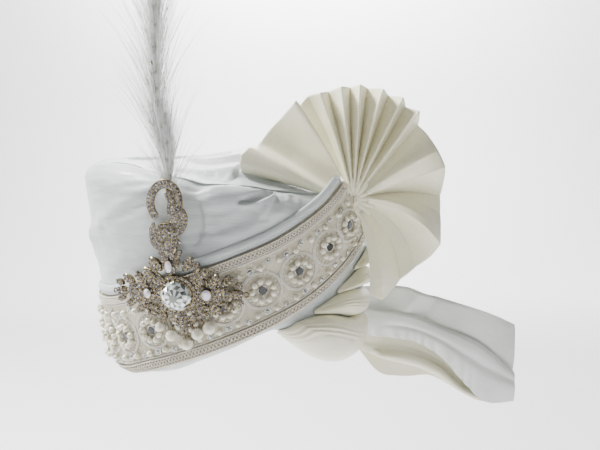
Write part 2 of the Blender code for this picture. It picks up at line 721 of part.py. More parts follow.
def brooch(group, guides):
    """Star of leaf clusters with the swan above it, one soldered solid."""
    cutters = bpy.data.collections.new("brooch_leaves")
    guides.children.link(cutters)
    rows = list(MIDDLE_LEAVES)
    for x, y, turn, length, width, height in LEAVES:
        rows.append((x, y, turn, length, width, height))
        rows.append((-x, y, 180 - turn, length, width, height * 0.97))
    for number, row in enumerate(rows):
        leaf(number, row, cutters)
    for number, (x, y, radius) in enumerate(SWAN_BODY):
        primitive(f"swan_body_{number}", cylinder(10, radius, radius * 0.55, 4.2), cutters,
                  antique_gold(), brooch_frame(x, y, 0.11 * number))
    primitive("setting", cylinder(20, SETTING / 2, SETTING / 2 - 1.0, BROOCH_PLATE + 0.4), cutters,
              antique_gold(), brooch_frame(0, 0, 0.2))
    wire("swan_neck", SWAN_NECK, SWAN_WIRE, cutters, SWAN_WIRE + 0.2)
    wire("swan_wing", SWAN_WING, SWAN_WIRE * 0.85, cutters, SWAN_WIRE + 0.5)
    hide(cutters.objects)
    plate = loft("brooch", [[brooch_frame(x, y, lift).translation for x, y in star_outline()]
                            for lift in (0.0, BROOCH_PLATE * 0.7)], group, antique_gold())
    union(plate, cutters, "MANIFOLD")


def centre_stone(group):
    """Round brilliant: a table, a faceted crown and a low girdle."""
    seat = BROOCH_PLATE + 0.6 + GAP
    sections = []
    for share, height in ((0.72, 0.0), (1.0, 0.28), (1.0, 0.36), (0.82, 0.72), (0.52, 1.0)):
        ring = []
        for index in range(16):
            turn = math.tau * (index + (0.5 if share < 0.9 and height else 0.0)) / 16
            place = Matrix.Translation((STONE / 2 * share * math.cos(turn),
                                        STONE / 2 * share * math.sin(turn),
                                        seat + STONE_HEIGHT * height))
            ring.append((brooch_frame(0, 0) @ place).translation)
        sections.append(ring)
    loft("centre_stone", sections, group, glass())


def drops(group):
    """Drop pearls in an arc below the brooch, each at the tip of an arm and against the band."""
    for number, (x, y, size) in enumerate(DROPS, 1):
        place = brooch_frame(x, y, size / 2 + GAP * 2 + BAND_WALL - BROOCH_LIFT)
        primitive(f"pearl_drop_{number}", ball(10, 6, size / 2), group, pearl(), place)


def plume(group, guides):
    """Feather locks fused to a ferrule behind the swan."""
    foot = brooch_frame(*PLUME_FOOT, -GAP).translation
    frame = brooch_frame(*PLUME_FOOT)
    along, out = frame.col[0].to_3d(), frame.col[2].to_3d()
    foot -= out * (FERRULE / 2)
    rise = Vector((0, 0, 1))
    cutters = bpy.data.collections.new("plume_locks")
    guides.children.link(cutters)
    for number, (start, lean, length, width) in enumerate(LOCKS):
        sections = []
        for step in range(6):
            share = step / 5
            sway = PLUME_LEAN * math.sin(share * math.pi / 2) + lean * share ** 1.6
            high = PLUME * (start + (length - start) * share)
            spot = foot + rise * high + along * sway + out * (1.2 * math.sin(number * 2.1) * share)
            half = width / 2 * (0.45 + 0.75 * math.sin(math.pi * min(share + 0.12, 1.0))) * (1 - 0.55 * share)
            deep = half * 0.45
            sections.append([spot + along * half, spot + out * deep, spot - along * half, spot - out * deep])
        loft(f"lock_{number}", sections, cutters, feather())
    hide(cutters.objects)
    place = Matrix.Translation(foot - rise * FERRULE)
    base = primitive("plume", cylinder(10, FERRULE * 0.32, FERRULE * 0.5, 2 * FERRULE), group, feather(), place)
    union(base, cutters)


def fan_point(direction, reach, forward):
    """Point of the fan: direction around its hub, distance from it and depth towards the front."""
    hub = wall_point(FAN_ANGLE, BAND_LINE[-1][1] * CROWN_HEIGHT + FAN_ABOVE, FAN_LIFT)
    face = math.radians(FAN_FACE)
    side = Vector((math.cos(face), math.sin(face), 0))
    front = Vector((math.sin(face), -math.cos(face), 0))
    turn = math.radians(direction)
    return hub + side * reach * math.cos(turn) + Vector((0, 0, reach * math.sin(turn))) + front * (forward - FAN_SET)


def fan(group):
    """Pleats that spread from the hub, and the rolled loop at their left."""
    rows = []
    for direction, share, depth in PLEATS:
        row = []
        for step in range(6):
            out = step / 5
            reach = FAN_THROAT + (FAN_RADIUS * share - FAN_THROAT) * out
            forward = PLEAT_DEPTH * depth * (0.12 + 0.88 * out ** 0.8) * (1 - 0.25 * out ** 4)
            row.append(fan_point(direction, reach, forward))
        rows.append(row)
    grid("fan", rows, FAN_WALL, group, ivory())
    rows = []
    for direction, share, depth in LOOP:
        row = []
        for step in range(6):
            out = step / 5
            reach = LOOP_THROAT + (FAN_RADIUS * share - LOOP_THROAT) * out
            forward = LOOP_FORWARD + depth * math.sin(math.pi * (0.12 + 0.76 * out))
            row.append(fan_point(direction, reach, forward))
        rows.append(row)
    grid("fan_loop", rows, FAN_WALL, group, ivory())


def front_fold(group):
    """Wrap layer over the wearer's left front, thickest at its upper lip."""
    sections = []
    for angle, share in smooth_path(FRONT_LIP, 11):
        low = table_value(BAND_TOP, angle) + 1.5
        lip = CROWN_HEIGHT * share
        section = []
        for part, out in ((0.0, 0.6), (0.45, 1.3), (0.85, 2.2), (1.0, 1.2)):
            rise = wall_rise(low + (lip - low) * part)
            section.append(wall_point(angle, rise, GAP + LAYER_WALL * out))
        for part in (0.98, 0.5, 0.0):
            section.append(wall_point(angle, wall_rise(low + (lip - low) * part), GAP))
        sections.append(section)
    loft("front_fold", sections, group, satin())


def tucks(group):
    """Folded rolls stacked under the band's climbing end."""
    for number, rows in enumerate(TUCKS, 1):
        stations = smooth_path(rows, len(rows) + 2)
        sections = []
        for angle, low, high, bulge in stations:
            low = max(low * CROWN_HEIGHT, rim_height(angle) + GAP)
            high *= CROWN_HEIGHT
            middle = (low + high) / 2
            half = (high - low) / 2
            section = []
            for side, out in ((-1, 0.12), (-0.8, 0.62), (-0.25, 1.0), (0.35, 0.97), (0.85, 0.55), (1, 0.12)):
                rise = wall_rise(middle + side * half, angle)
                section.append(wall_point(angle, rise, TUCK_FOOT + bulge * out))
            for side in (0.6, 0.0, -0.6):
                section.append(wall_point(angle, wall_rise(middle + side * half, angle), TUCK_FOOT))
            sections.append(section)
        loft(f"tuck_{number}", sections, group, ivory())


def tail_point(share, height, layer, wave):
    """Point of the tail: share of its length out from the wall, height, place among the sheets, wave."""
    rise = wall_rise(max(height, EDGE_ROUND))
    root = wall_point(TAIL_ANGLE - layer / arc_scale(rise), rise, GAP)
    face = math.radians(TAIL_FACE)
    side = Vector((math.cos(face), math.sin(face), 0))
    front = Vector((math.sin(face), -math.cos(face), 0))
    spot = root + side * TAIL_LENGTH * share + front * wave
    spot.z = height
    return spot


def tail(group):
    """Three hanging sheets: the folded top layer, the main sheet and the inner one."""
    layers = {"tail_fold": (1, 2, 2), "tail_main": (1, 3, 1), "tail_inner": (2, 4, 0)}
    for name, (top, low, level) in layers.items():
        rows = []
        for number in range(9):
            share = number / 8
            high_edge = table_value(TAIL, share, top) - (TAIL_TURN if name == "tail_main" else 0.0)
            low_edge = table_value(TAIL, share, low)
            row = []
            for step in range(5):
                down = step / 4
                height = high_edge + (low_edge - high_edge) * down
                wave = TAIL_WAVE * math.sin(math.tau * (share * 1.3 + 0.15)) * share
                wave += TAIL_BOW * math.sin(math.pi * down) * share
                row.append(tail_point(share, height, TAIL_LAYER * (level - 1), wave))
            rows.append(row)
        grid(name, rows, TAIL_WALL, group, ivory())


def main():
    clear_scene()
    BAND_TOP.extend(band_top())
    group = collection("Tied turban pagri")
    guides = collection("Guides")
    crown(group)
    top_folds(group)
    front_fold(group)
    band(group)
    flowers(group, guides)
    brooch(group, guides)
    centre_stone(group)
    drops(group)
    plume(group, guides)
    fan(group)
    tucks(group)
    tail(group)


main()
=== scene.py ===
"""Tied turban pagri: cloth, embroidery, jewel, plume, fan and tail over the solids.

Front is -Y, the wearer's left is +X, up is +Z. Lengths are millimetres until a mesh is made.
"""
import math

import bpy
import numpy as np
from mathutils import Matrix, Vector


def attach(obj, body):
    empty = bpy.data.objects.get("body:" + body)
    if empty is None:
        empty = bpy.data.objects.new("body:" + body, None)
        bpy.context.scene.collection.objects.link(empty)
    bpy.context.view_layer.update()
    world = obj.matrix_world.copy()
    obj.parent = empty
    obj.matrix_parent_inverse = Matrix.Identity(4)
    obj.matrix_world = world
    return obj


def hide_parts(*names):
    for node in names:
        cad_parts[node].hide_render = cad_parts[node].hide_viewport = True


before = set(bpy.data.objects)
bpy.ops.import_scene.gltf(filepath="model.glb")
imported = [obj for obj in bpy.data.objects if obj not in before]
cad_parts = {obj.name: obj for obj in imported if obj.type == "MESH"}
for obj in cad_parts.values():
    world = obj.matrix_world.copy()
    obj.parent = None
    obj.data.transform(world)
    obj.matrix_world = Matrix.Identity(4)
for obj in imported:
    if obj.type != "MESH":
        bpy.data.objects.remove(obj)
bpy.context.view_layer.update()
chance = np.random.default_rng(11)

MM = 0.001

# Sizes of the solids, repeated here, in millimetres and degrees
GAP = 0.35
OPENING_WIDTH, OPENING_DEPTH = 164.0, 196.0
WALL, EDGE_ROUND, FLARE = 20.0, 12.0, 0.12
CROWN_HEIGHT, CAVITY_HEIGHT, SHOULDER_ROUND = 159.0, 130.0, 15.0
ROLL = EDGE_ROUND * math.pi / 2
RIM = [(-180, 7.0), (-120, 3.0), (-60, 0.0), (-5, 0.0), (11, 5.5), (25, 15.5), (36, 23.0), (48, 32.0),
       (54, 34.5), (60, 30.0), (68, 20.5), (76, 13.0), (84, 8.0), (92, 6.5), (100, 8.0), (112, 10.0),
       (150, 8.0), (180, 7.0)]
SHOULDER = [(-180, 0.975), (-110, 0.99), (-50, 1.0), (-8, 1.0), (10, 0.96), (26, 0.925), (45, 0.90),
            (62, 0.865), (82, 0.85), (100, 0.87), (125, 0.93), (155, 0.97), (180, 0.975)]
BAND_LINE = [(-206, 27.0), (-150, 26.0), (-90, 26.0), (-50, 28.0), (-22, 32.5), (-5, 40.0), (20, 56.5),
             (46, 76.0), (59, 87.0), (71, 101.0), (81, 115.5), (88, 130.0), (90, 135.0)]
BAND_WIDTH, BAND_WALL, BAND_TUCK, ROLL_SLACK, SLACK_FADE = 62.0, 2.0, 2.0, 0.5, 5.0
BINDING_WIDTH, BINDING_HEIGHT = 8.5, 2.6
LACE_WIDTH, LACE_WALL, LACE_INSET = 6.5, 1.2, 3.0
FLOWER_PITCH, FLOWER_ORIGIN = 28.5, -10.3
FLOWERS = [-0.85, 0, 4.1, 5.1, 6.1, 6.92, 7.8]
PEARL, MIRROR, PEARL_SPACE = 4.0, 5.8, 2.6
SEWN, SEWN_PEARL = 9, 4.9       # pearls of a flower, plump enough to touch
BROOCH_ANGLE, BROOCH_RISE, BROOCH_BEND = 17.1, 75.5, 170.0
BROOCH_LIFT = 3 * GAP + BAND_WALL + LACE_WALL + ROLL_SLACK / 2
STONE, STONE_HEIGHT = 22.5, 7.0
DROPS = [(-14.2, -24.6, 7.6), (-5.8, -30.4, 9.0), (5.3, -36.8, 9.0), (13.4, -28.8, 9.0), (22.2, -24.0, 9.6)]
PLUME_FOOT, FERRULE = (-1.6, 74.0), 6.0
FAN_ANGLE, FAN_RISE, FAN_LIFT, FAN_RADIUS, FAN_SET = 80.0, 138.5, 9.0, 86.0, 4.9
TAIL_ANGLE, TAIL_LAYER, TAIL_LENGTH = 118.0, 5.0, 142.0

# The fan, the tail and the camera face this way
FACE = math.radians(30)
SIDE = np.array([math.cos(FACE), math.sin(FACE), 0])
FRONT = np.array([math.sin(FACE), -math.cos(FACE), 0])
UP = np.array([0, 0, 1.0])


def table_value(rows, key, column=1):
    """Smooth value of a table's column at keys in its first column."""
    rows = np.asarray(rows, float)
    xs, ys = rows[:, 0], rows[:, column]
    slope = np.empty(len(xs))
    slope[1:-1] = (ys[2:] - ys[:-2]) / (xs[2:] - xs[:-2])
    slope[0] = (ys[1] - ys[0]) / (xs[1] - xs[0])
    slope[-1] = (ys[-1] - ys[-2]) / (xs[-1] - xs[-2])
    key = np.clip(np.asarray(key, float), xs[0], xs[-1])
    i = np.clip(np.searchsorted(xs, key, side="right") - 1, 0, len(xs) - 2)
    span = xs[i + 1] - xs[i]
    t = (key - xs[i]) / span
    a, b, da, db = ys[i], ys[i + 1], slope[i] * span, slope[i + 1] * span
    return a + (da + (3 * (b - a) - 2 * da - db + (2 * (a - b) + da + db) * t) * t) * t


def reach_along(points):
    """Distance from the first point at each one; a row of points counts by its mean."""
    steps = np.linalg.norm(np.diff(points, axis=0), axis=-1)
    if steps.ndim > 1:
        steps = steps.mean(axis=1)
    return np.concatenate([[0], np.cumsum(steps)])


def smooth_path(points, count):
    """Evenly spaced points of a smooth curve through the given ones."""
    points = np.asarray(points, float)
    dense = []
    for i in range(len(points) - 1):
        a, b = points[max(i - 1, 0)], points[i]
        c, d = points[i + 1], points[min(i + 2, len(points) - 1)]
        t = np.linspace(0, 1, 16, endpoint=False)[:, None]
        dense.append(0.5 * (2 * b + (c - a) * t + (2 * a - 5 * b + 4 * c - d) * t * t
                            + (3 * b - a - 3 * c + d) * t ** 3))
    dense = np.vstack(dense + [points[-1:]])
    reach = reach_along(dense)
    goal = np.linspace(0, reach[-1], count)
    return np.stack([np.interp(goal, reach, dense[:, k]) for k in range(dense.shape[1])], axis=1)


def wrapped(angle):
    return (np.asarray(angle, float) + 180) % 360 - 180


def step(value):
    """Smooth step from 0 to 1."""
    value = np.clip(value, 0, 1)
    return value * value * (3 - 2 * value)


def plan(angle, reach, height, share=1.0):
    turn = np.radians(angle)
    wide = (OPENING_WIDTH / 2 + WALL + reach) * share
    deep = (OPENING_DEPTH / 2 + WALL + reach) * share
    x, y, z = np.broadcast_arrays(wide * np.sin(turn), -deep * np.cos(turn), height)
    return np.stack([x, y, z], axis=-1)


def rim_height(angle):
    return table_value(RIM, wrapped(angle))


def wall(angle, rise, lift=0.0):
    """Points above the wall: around it, up it from a level rim's underside, and out from it."""
    angle, rise, lift = np.broadcast_arrays(np.asarray(angle, float), np.asarray(rise, float), lift)
    rim = rim_height(angle)
    tilt = np.clip((rim + ROLL - rise) / EDGE_ROUND, 0, None)
    low = rise < rim + ROLL
    height = EDGE_ROUND + rise - ROLL
    reach = np.where(low, (EDGE_ROUND + lift) * np.cos(tilt) - EDGE_ROUND + FLARE * rim,
                     FLARE * (height - EDGE_ROUND) + lift)
    height = np.where(low, rim + EDGE_ROUND - (EDGE_ROUND + lift) * np.sin(tilt), height)
    return plan(angle, reach, height)


def wall_rise(height):
    return np.asarray(height, float) - EDGE_ROUND + ROLL


ARC = (OPENING_WIDTH + OPENING_DEPTH) / 4 + WALL
ARC_DEGREE = ARC * math.pi / 180

# Band's centre line: distance along it, place around, rise, direction across
LINE = smooth_path([(angle * ARC_DEGREE, rise) for angle, rise in BAND_LINE], 1600)
ALONG = reach_along(LINE)
RUN = np.gradient(LINE, axis=0)
RUN /= np.linalg.norm(RUN, axis=1)[:, None]
BAND_LENGTH = ALONG[-1]
ORIGIN = float(np.interp(FLOWER_ORIGIN * ARC_DEGREE, LINE[:, 0], ALONG))


def band_at(along, across, lift):
    """Points over the band: distance along it, across its centre line and out from the wall."""
    along, across, lift = np.broadcast_arrays(np.asarray(along, float), np.asarray(across, float), lift)
    along = np.clip(along, 0, BAND_LENGTH)
    around, rise, run_x, run_y = (np.interp(along, ALONG, values)
                                  for values in (LINE[:, 0], LINE[:, 1], RUN[:, 0], RUN[:, 1]))
    angle = (around - run_y * across) / ARC_DEGREE
    rim = rim_height(angle)
    up = np.maximum(rise + run_x * across, rim + BAND_TUCK + 0.02 * across)
    fade = np.clip((rim + ROLL + SLACK_FADE - up) / SLACK_FADE, 0, 1)
    return wall(angle, up, lift + ROLL_SLACK * fade)


def band_frame(along, across, lift, turn=0.0):
    """Placement on the band's face: x along it, y up across it, z out."""
    spot, ahead, behind, above, below = (Vector(band_at(along + a, across + b, lift))
                                         for a, b in ((0, 0), (0.7, 0), (-0.7, 0), (0, 0.7), (0, -0.7)))
    x = (ahead - behind).normalized()
    z = x.cross((above - below).normalized()).normalized()
    made = Matrix((x, z.cross(x), z)).transposed().to_4x4()
    made.translation = spot
    return made @ Matrix.Rotation(turn, 4, "Z")


def brooch_frame(x, y, lift=0.0, turn=0.0):
    """Placement on the brooch's gently curved face."""
    middle = Vector(wall(BROOCH_ANGLE, BROOCH_RISE, BROOCH_LIFT))
    up = (Vector(wall(BROOCH_ANGLE, BROOCH_RISE + 10, BROOCH_LIFT)) - middle).normalized()
    out = (Vector(wall(BROOCH_ANGLE + 1, BROOCH_RISE, BROOCH_LIFT)) - middle).cross(up).normalized()
    along = up.cross(out)
    bend = x / BROOCH_BEND
    spot = middle + up * y + along * BROOCH_BEND * math.sin(bend) - out * BROOCH_BEND * (1 - math.cos(bend))
    normal = (out * math.cos(bend) + along * math.sin(bend)).normalized()
    made = Matrix((up.cross(normal), up, normal)).transposed().to_4x4()
    made.translation = spot + normal * lift
    return made @ Matrix.Rotation(math.radians(turn), 4, "Z")


def brooch_spot(x, y, lift):
    return np.array(brooch_frame(x, y, lift).translation)


def brooch_ring(x, y, radius, count, lift, first=0.0):
    """Placements spaced around a circle on the brooch."""
    turns = [math.tau * index / count + first for index in range(count)]
    return [brooch_frame(x + radius * math.cos(turn), y + radius * math.sin(turn), lift) for turn in turns]


def fan_points(direction, reach, forward):
    """Points of the fan: direction around its hub, distance from it and depth towards the front."""
    turn = np.radians(direction)
    return (wall(FAN_ANGLE, FAN_RISE, FAN_LIFT) + SIDE * (reach * np.cos(turn))[..., None]
            + UP * (reach * np.sin(turn))[..., None] + FRONT * (np.asarray(forward) - FAN_SET)[..., None])


def band_top():
    """Height of the binding's top edge by angle."""
    points = band_at(np.linspace(0, BAND_LENGTH, 90), BAND_WIDTH / 2 + BINDING_WIDTH, 0.0)
    grown = WALL + FLARE * (points[:, 2] - EDGE_ROUND)
    angle = np.degrees(np.arctan2(points[:, 0] / (OPENING_WIDTH / 2 + grown),
                                  -points[:, 1] / (OPENING_DEPTH / 2 + grown)))
    return np.array(sorted((a, z) for a, z in zip(angle, points[:, 2]) if a < angle[-1] + 0.1 or a > 150))


BAND_TOP = band_top()


def flat_map(across, down):
    """Places on flat cloth: given ones across, and the reach down its rows."""
    return np.stack(np.broadcast_arrays(across[None], reach_along(down)[:, None]), axis=-1)


def circle(count):
    return np.linspace(0, math.tau, count, endpoint=False)


def grid_faces(rows, columns, wrap=False):
    i, j = np.meshgrid(np.arange(rows - 1), np.arange(columns if wrap else columns - 1), indexing="ij")
    after = (j + 1) % columns
    return np.stack([i * columns + j, i * columns + after, (i + 1) * columns + after,
                     (i + 1) * columns + j], axis=-1).reshape(-1, 4)


def piece(name, verts, faces, material, stands_for=(), smooth=True, uv=None, sharp=None):
    """Mesh in the scene that rides on the part, with an optional map of its cloth in metres."""
    mesh = bpy.data.meshes.new(name)
    faces = faces.tolist() if isinstance(faces, np.ndarray) else faces
    mesh.from_pydata((np.asarray(verts, float).reshape(-1, 3) * MM).tolist(), [], faces)
    mesh.update()
    mesh.materials.append(material)
    if uv is not None:
        layer = mesh.uv_layers.new(name="Cloth")
        index = np.empty(len(mesh.loops), dtype=np.int32)
        mesh.loops.foreach_get("vertex_index", index)
        layer.data.foreach_set("uv", (np.asarray(uv, float).reshape(-1, 2)[index] * MM).ravel())
    if smooth:
        mesh.shade_smooth()
        if sharp:
            mesh.set_sharp_from_angle(angle=math.radians(sharp))
    thing = bpy.data.objects.new(name, mesh)
    bpy.context.scene.collection.objects.link(thing)
    if stands_for:
        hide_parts(*stands_for)
    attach(thing, "root")
    return thing


def cloth_sheet(name, verts, material, stands_for, thick, edge):
    """Sheet of cloth with its length down the grid, its width along one row, and its area, in metres."""
    drops = np.linalg.norm(np.diff(verts, axis=0), axis=2)
    down = np.concatenate([np.zeros((1, verts.shape[1])), np.cumsum(drops, axis=0)])
    along = reach_along(verts[edge])
    uv = np.stack([np.broadcast_to(along, down.shape), down], axis=-1)
    made = piece(name, verts, grid_faces(*verts.shape[:2]), material, (stands_for,), uv=uv)
    shell = made.modifiers.new("Thickness", "SOLIDIFY")
    shell.thickness = thick * MM
    shell.offset = 0.0
    area = (np.linalg.norm(np.diff(verts, axis=1), axis=2) * np.gradient(down, axis=0)[:, 1:]).sum()
    return made, down[-1].max() * MM, along[-1] * MM, area * MM * MM


class Pile:
    """Many small shapes gathered into one mesh."""

    def __init__(self):
        self.verts, self.faces, self.tones, self.count = [], [], [], 0

    def add(self, verts, faces, tones=None):
        verts = np.asarray(verts, float)
        self.verts.append(verts)
        self.faces += [tuple(int(i) + self.count for i in face) for face in faces]
        self.tones += list(tones) if tones is not None else [0.5] * len(faces)
        self.count += len(verts)

    def place(self, shape, matrix, tones=None):
        verts, faces = shape
        self.add(verts @ np.array(matrix.to_3x3()).T + np.array(matrix.translation), faces, tones)

    def sew(self, bead, place, lift, size):
        self.place(bead, place @ Matrix.Translation((0, 0, lift)) @ Matrix.Scale(size, 4))

    def wire(self, points, radius, sides=6, **shape):
        self.add(*tube(points, radius, sides, **shape))

    def piece(self, name, material, slot, stands_for=(), smooth=True, has_painted_light=False, sharp=None):
        thing = piece(name, np.vstack(self.verts), self.faces, material, stands_for, smooth,
                      sharp=sharp)
        # per-face values become an attribute of painted glints and reflections on stones and mirrors
        if has_painted_light:
            layer = thing.data.attributes.new("tone", "FLOAT", "FACE")
            layer.data.foreach_set("value", np.asarray(self.tones, dtype=np.float32))


def ring_grid(radius, height, turns):
    """Points of level rings, one row a ring."""
    return np.stack(np.broadcast_arrays(radius * np.cos(turns), radius * np.sin(turns), height),
                    axis=-1).reshape(-1, 3)


def ball(sides, rings, low=-1.0):
    """Sphere of radius 1, cut off below a height."""
    start = math.asin(low)
    tilt = (start + (math.pi / 2 - start) * np.arange(rings + 1) / rings)[:, None]
    return (ring_grid(np.cos(tilt), np.sin(tilt), math.tau * np.arange(sides) / sides),
            grid_faces(rings + 1, sides, True).tolist())


def split_quads(quads, sides):
    """Quads cut in two, one way in even rings and the other way in odd ones."""
    faces = []
    for number, (a, b, c, d) in enumerate(quads):
        even = number // sides % 2 == 0
        faces += [(a, b, d), (b, c, d)] if even else [(a, b, c), (a, c, d)]
    return faces


def turned(profile, sides, half_turn=False):
    """Turned shape of radius and height pairs, closed at its last ring."""
    radius, height = np.array(profile, float).T[..., None]
    odd = np.arange(len(profile))[:, None] % 2
    verts = ring_grid(radius, height, math.tau * (np.arange(sides) + 0.5 * odd * half_turn) / sides)
    faces = grid_faces(len(profile), sides, True).tolist()
    if half_turn:
        faces = split_quads(faces, sides)
    return verts, faces + [tuple(range(len(verts) - sides, len(verts)))]


def tube(points, radius, sides=6, closed=False, flat=1.0, normal=(0.31, -0.9, 0.28)):
    """Tube along points, its radius constant or one value a point."""
    points = np.asarray(points, float)
    count = len(points)
    radius = np.broadcast_to(radius, count)[:, None, None]
    run = np.roll(points, -1, axis=0) - np.roll(points, 1, axis=0) if closed else np.gradient(points, axis=0)
    run /= np.linalg.norm(run, axis=1)[:, None]
    side = np.cross(run, np.broadcast_to(np.array(normal, float), points.shape))
    side /= np.linalg.norm(side, axis=1)[:, None]
    turns = (np.arange(sides) / sides * math.tau)[None, :, None]
    verts = (points[:, None] + side[:, None] * (np.cos(turns) * radius)
             + np.cross(side, run)[:, None] * (np.sin(turns) * radius * flat))
    faces = (grid_faces(count + closed, sides, True) % (count * sides)).tolist()
    if not closed:
        faces += [tuple(range(sides)), tuple(range((count - 1) * sides, count * sides))]
    return verts.reshape(-1, 3), faces


class Nodes:
    """Short names for a material's nodes."""

    def __init__(self, name, colour, roughness, **sockets):
        self.material = bpy.data.materials.new(name)
        self.material.use_nodes = True
        self.tree = self.material.node_tree
        self.shader = self.tree.nodes["Principled BSDF"]
        self.shader.inputs["Base Color"].default_value = (*colour, 1.0)
        self.shader.inputs["Roughness"].default_value = roughness
        for socket, value in sockets.items():
            self.shader.inputs[socket.replace("_", " ")].default_value = value

    def node(self, kind, links=None, **values):
        made = self.tree.nodes.new(kind)
        for key, value in values.items():
            if key in made.inputs:
                made.inputs[key].default_value = value
            else:
                setattr(made, key, value)
        for key, source in (links or {}).items():
            self.tree.links.new(source, made.inputs[key])
        return made

    def coordinates(self, scale, kind):
        source = self.node("ShaderNodeTexCoord").outputs[kind]
        scale = scale if isinstance(scale, tuple) else (scale,) * 3
        return self.node("ShaderNodeMapping", {"Vector": source}, Scale=scale).outputs["Vector"]

    def noise(self, scale, detail, roughness=0.55, kind="Object"):
        return self.node("ShaderNodeTexNoise", {"Vector": self.coordinates(scale, kind)}, Scale=1.0,
                         Detail=detail, Roughness=roughness).outputs["Fac"]

    def ramp(self, source, stops):
        made = self.node("ShaderNodeValToRGB", {"Fac": source})
        ramp = made.color_ramp
        ramp.elements[0].position, ramp.elements[0].color = stops[0][0], (*stops[0][1], 1)
        ramp.elements[1].position, ramp.elements[1].color = stops[-1][0], (*stops[-1][1], 1)
        for place, colour in stops[1:-1]:
            ramp.elements.new(place).color = (*colour, 1)
        return made.outputs["Color"]

    def tint(self, colour):
        self.tree.links.new(colour, self.shader.inputs["Base Color"])

    def tint_multiplied(self, colour, other, amount):
        mix = self.node("ShaderNodeMix", {6: colour, 7: other}, data_type="RGBA", blend_type="MULTIPLY")
        mix.inputs[0].default_value = amount
        self.tint(mix.outputs[2])

    def relief(self, *layers):
        """Bump of layers of height, strength and distance, each over the one before."""
        below = {}
        for height, strength, distance in layers:
            made = self.node("ShaderNodeBump", {"Height": height, **below}, Strength=strength,
                             Distance=distance)
            below = {"Normal": made.outputs["Normal"]}
        self.tree.links.new(made.outputs["Normal"], self.shader.inputs["Normal"])


def cloth(name, light, deep, roughness, slub=0.5):
    """Woven satin: thread bump, uneven slubs and a slightly uneven tint."""
    made = Nodes(name, light, roughness, Sheen_Weight=0.15, Sheen_Roughness=0.35, Specular_IOR_Level=0.45)
    threads = made.noise((260, 2600, 1), 2.0, kind="UV")
    slubs = made.noise((60, 1300, 1), 3.0, 0.65, "UV")
    cloud = made.ramp(made.noise(26, 3.0), [(0.3, deep), (0.7, light)])
    fleck = made.ramp(slubs, [(0.25, tuple(0.93 * c for c in light)), (0.6, (1.0, 1.0, 1.0))])
    made.tint_multiplied(cloud, fleck, 0.55)
    made.relief((threads, 0.35, 0.00025), (slubs, slub, 0.0004))
    return made.material


def metal(name, colour, worn, roughness):
    made = Nodes(name, colour, roughness, Metallic=1.0)
    patches = made.noise(420, 4.0)
    made.tint(made.ramp(patches, [(0.3, worn), (0.62, colour)]))
    made.relief((patches, 0.25, 0.0002))
    return made.material


def stones(name, stops, roughness=0.06, metallic=0.35, coat=0.6):
    """Cut stones whose facets carry painted glints and reflections: light and dark values set facet by facet.
    """
    made = Nodes(name, stops[-1][1], roughness, Metallic=metallic, IOR=1.6, Coat_Weight=coat,
                 Coat_Roughness=0.03)
    made.tint(made.ramp(made.node("ShaderNodeAttribute", attribute_name="tone").outputs["Fac"], stops))
    return made.material


def pearl_finish():
    made = Nodes("pearl lustre", (0.72, 0.69, 0.57), 0.16, Coat_Weight=1.0, Coat_Roughness=0.06,
                 Sheen_Weight=0.15)
    made.tint(made.ramp(made.noise(160, 2.0), [(0.32, (0.58, 0.54, 0.39)), (0.5, (0.78, 0.74, 0.59)),
                                               (0.68, (0.82, 0.76, 0.68))]))
    made.relief((made.noise(900, 2.0), 0.06, 0.0002))
    return made.material


def net_finish():
    """Beige net over satin: a fine mesh of holes, with a mottled ground."""
    made = Nodes("embroidered net", (0.74, 0.68, 0.58), 0.62, Sheen_Weight=0.2)
    cells = made.node("ShaderNodeTexVoronoi", {"Vector": made.coordinates(820, "UV")}, Scale=1.0)
    holes = cells.outputs["Distance"]
    ground = made.ramp(made.noise(70, 4.0), [(0.3, (0.49, 0.445, 0.33)), (0.55, (0.61, 0.56, 0.44)),
                                             (0.75, (0.68, 0.635, 0.53))])
    made.tint_multiplied(ground, made.ramp(holes, [(0.05, (0.80, 0.78, 0.74)), (0.5, (1, 1, 1))]), 0.8)
    made.relief((holes, 0.7, 0.0005))
    return made.material


def thread_finish(name, light, dark):
    made = Nodes(name, light, 0.5, Sheen_Weight=0.3)
    twist = made.noise((900, 900, 1500), 2.0)
    made.tint(made.ramp(twist, [(0.3, dark), (0.65, light)]))
    made.relief((twist, 0.5, 0.0003))
    return made.material


def feather_finish():
    made = Nodes("feather hair", (0.93, 0.935, 0.92), 0.6, Sheen_Weight=0.6)
    shade = made.noise((330, 330, 190), 3.0)
    made.tint(made.ramp(shade, [(0.33, (0.30, 0.26, 0.17)), (0.43, (0.76, 0.77, 0.75)),
                                (0.64, (0.93, 0.935, 0.92))]))
    return made.material


WHITE_SATIN = cloth("bluish white satin", (0.60, 0.635, 0.63), (0.50, 0.54, 0.54), 0.32)
IVORY_SATIN = cloth("ivory satin", (0.90, 0.875, 0.71), (0.83, 0.80, 0.60), 0.30)
TAIL_SATIN = cloth("pale satin of the tail", (0.80, 0.825, 0.80), (0.73, 0.755, 0.71), 0.30, 0.7)
LACE_THREAD = thread_finish("lace thread", (0.78, 0.73, 0.64), (0.48, 0.42, 0.32))
# Dark colour of the lace tape: painted shade in the gaps between braided stitches
LACE_GAP_SHADE = thread_finish("painted shade of the lace gaps", (0.40, 0.34, 0.24), (0.22, 0.18, 0.12))
CORD_THREAD = thread_finish("raised cord", (0.82, 0.80, 0.74), (0.66, 0.62, 0.53))
NET = net_finish()
PEARL_COAT = pearl_finish()
GOLD = metal("antique gold", (0.36, 0.295, 0.175), (0.07, 0.055, 0.03), 0.26)
SILVER = metal("silver claw", (0.74, 0.72, 0.68), (0.42, 0.40, 0.36), 0.22)
# Stone ramps from near black to near white: painted glints and reflections on the facets, over each stone's
# own colour
RHINESTONE = stones("smoky rhinestone", [(0.0, (0.01, 0.009, 0.011)), (0.5, (0.05, 0.045, 0.055)),
                                         (0.8, (0.24, 0.225, 0.26)), (1.0, (0.93, 0.92, 0.95))])
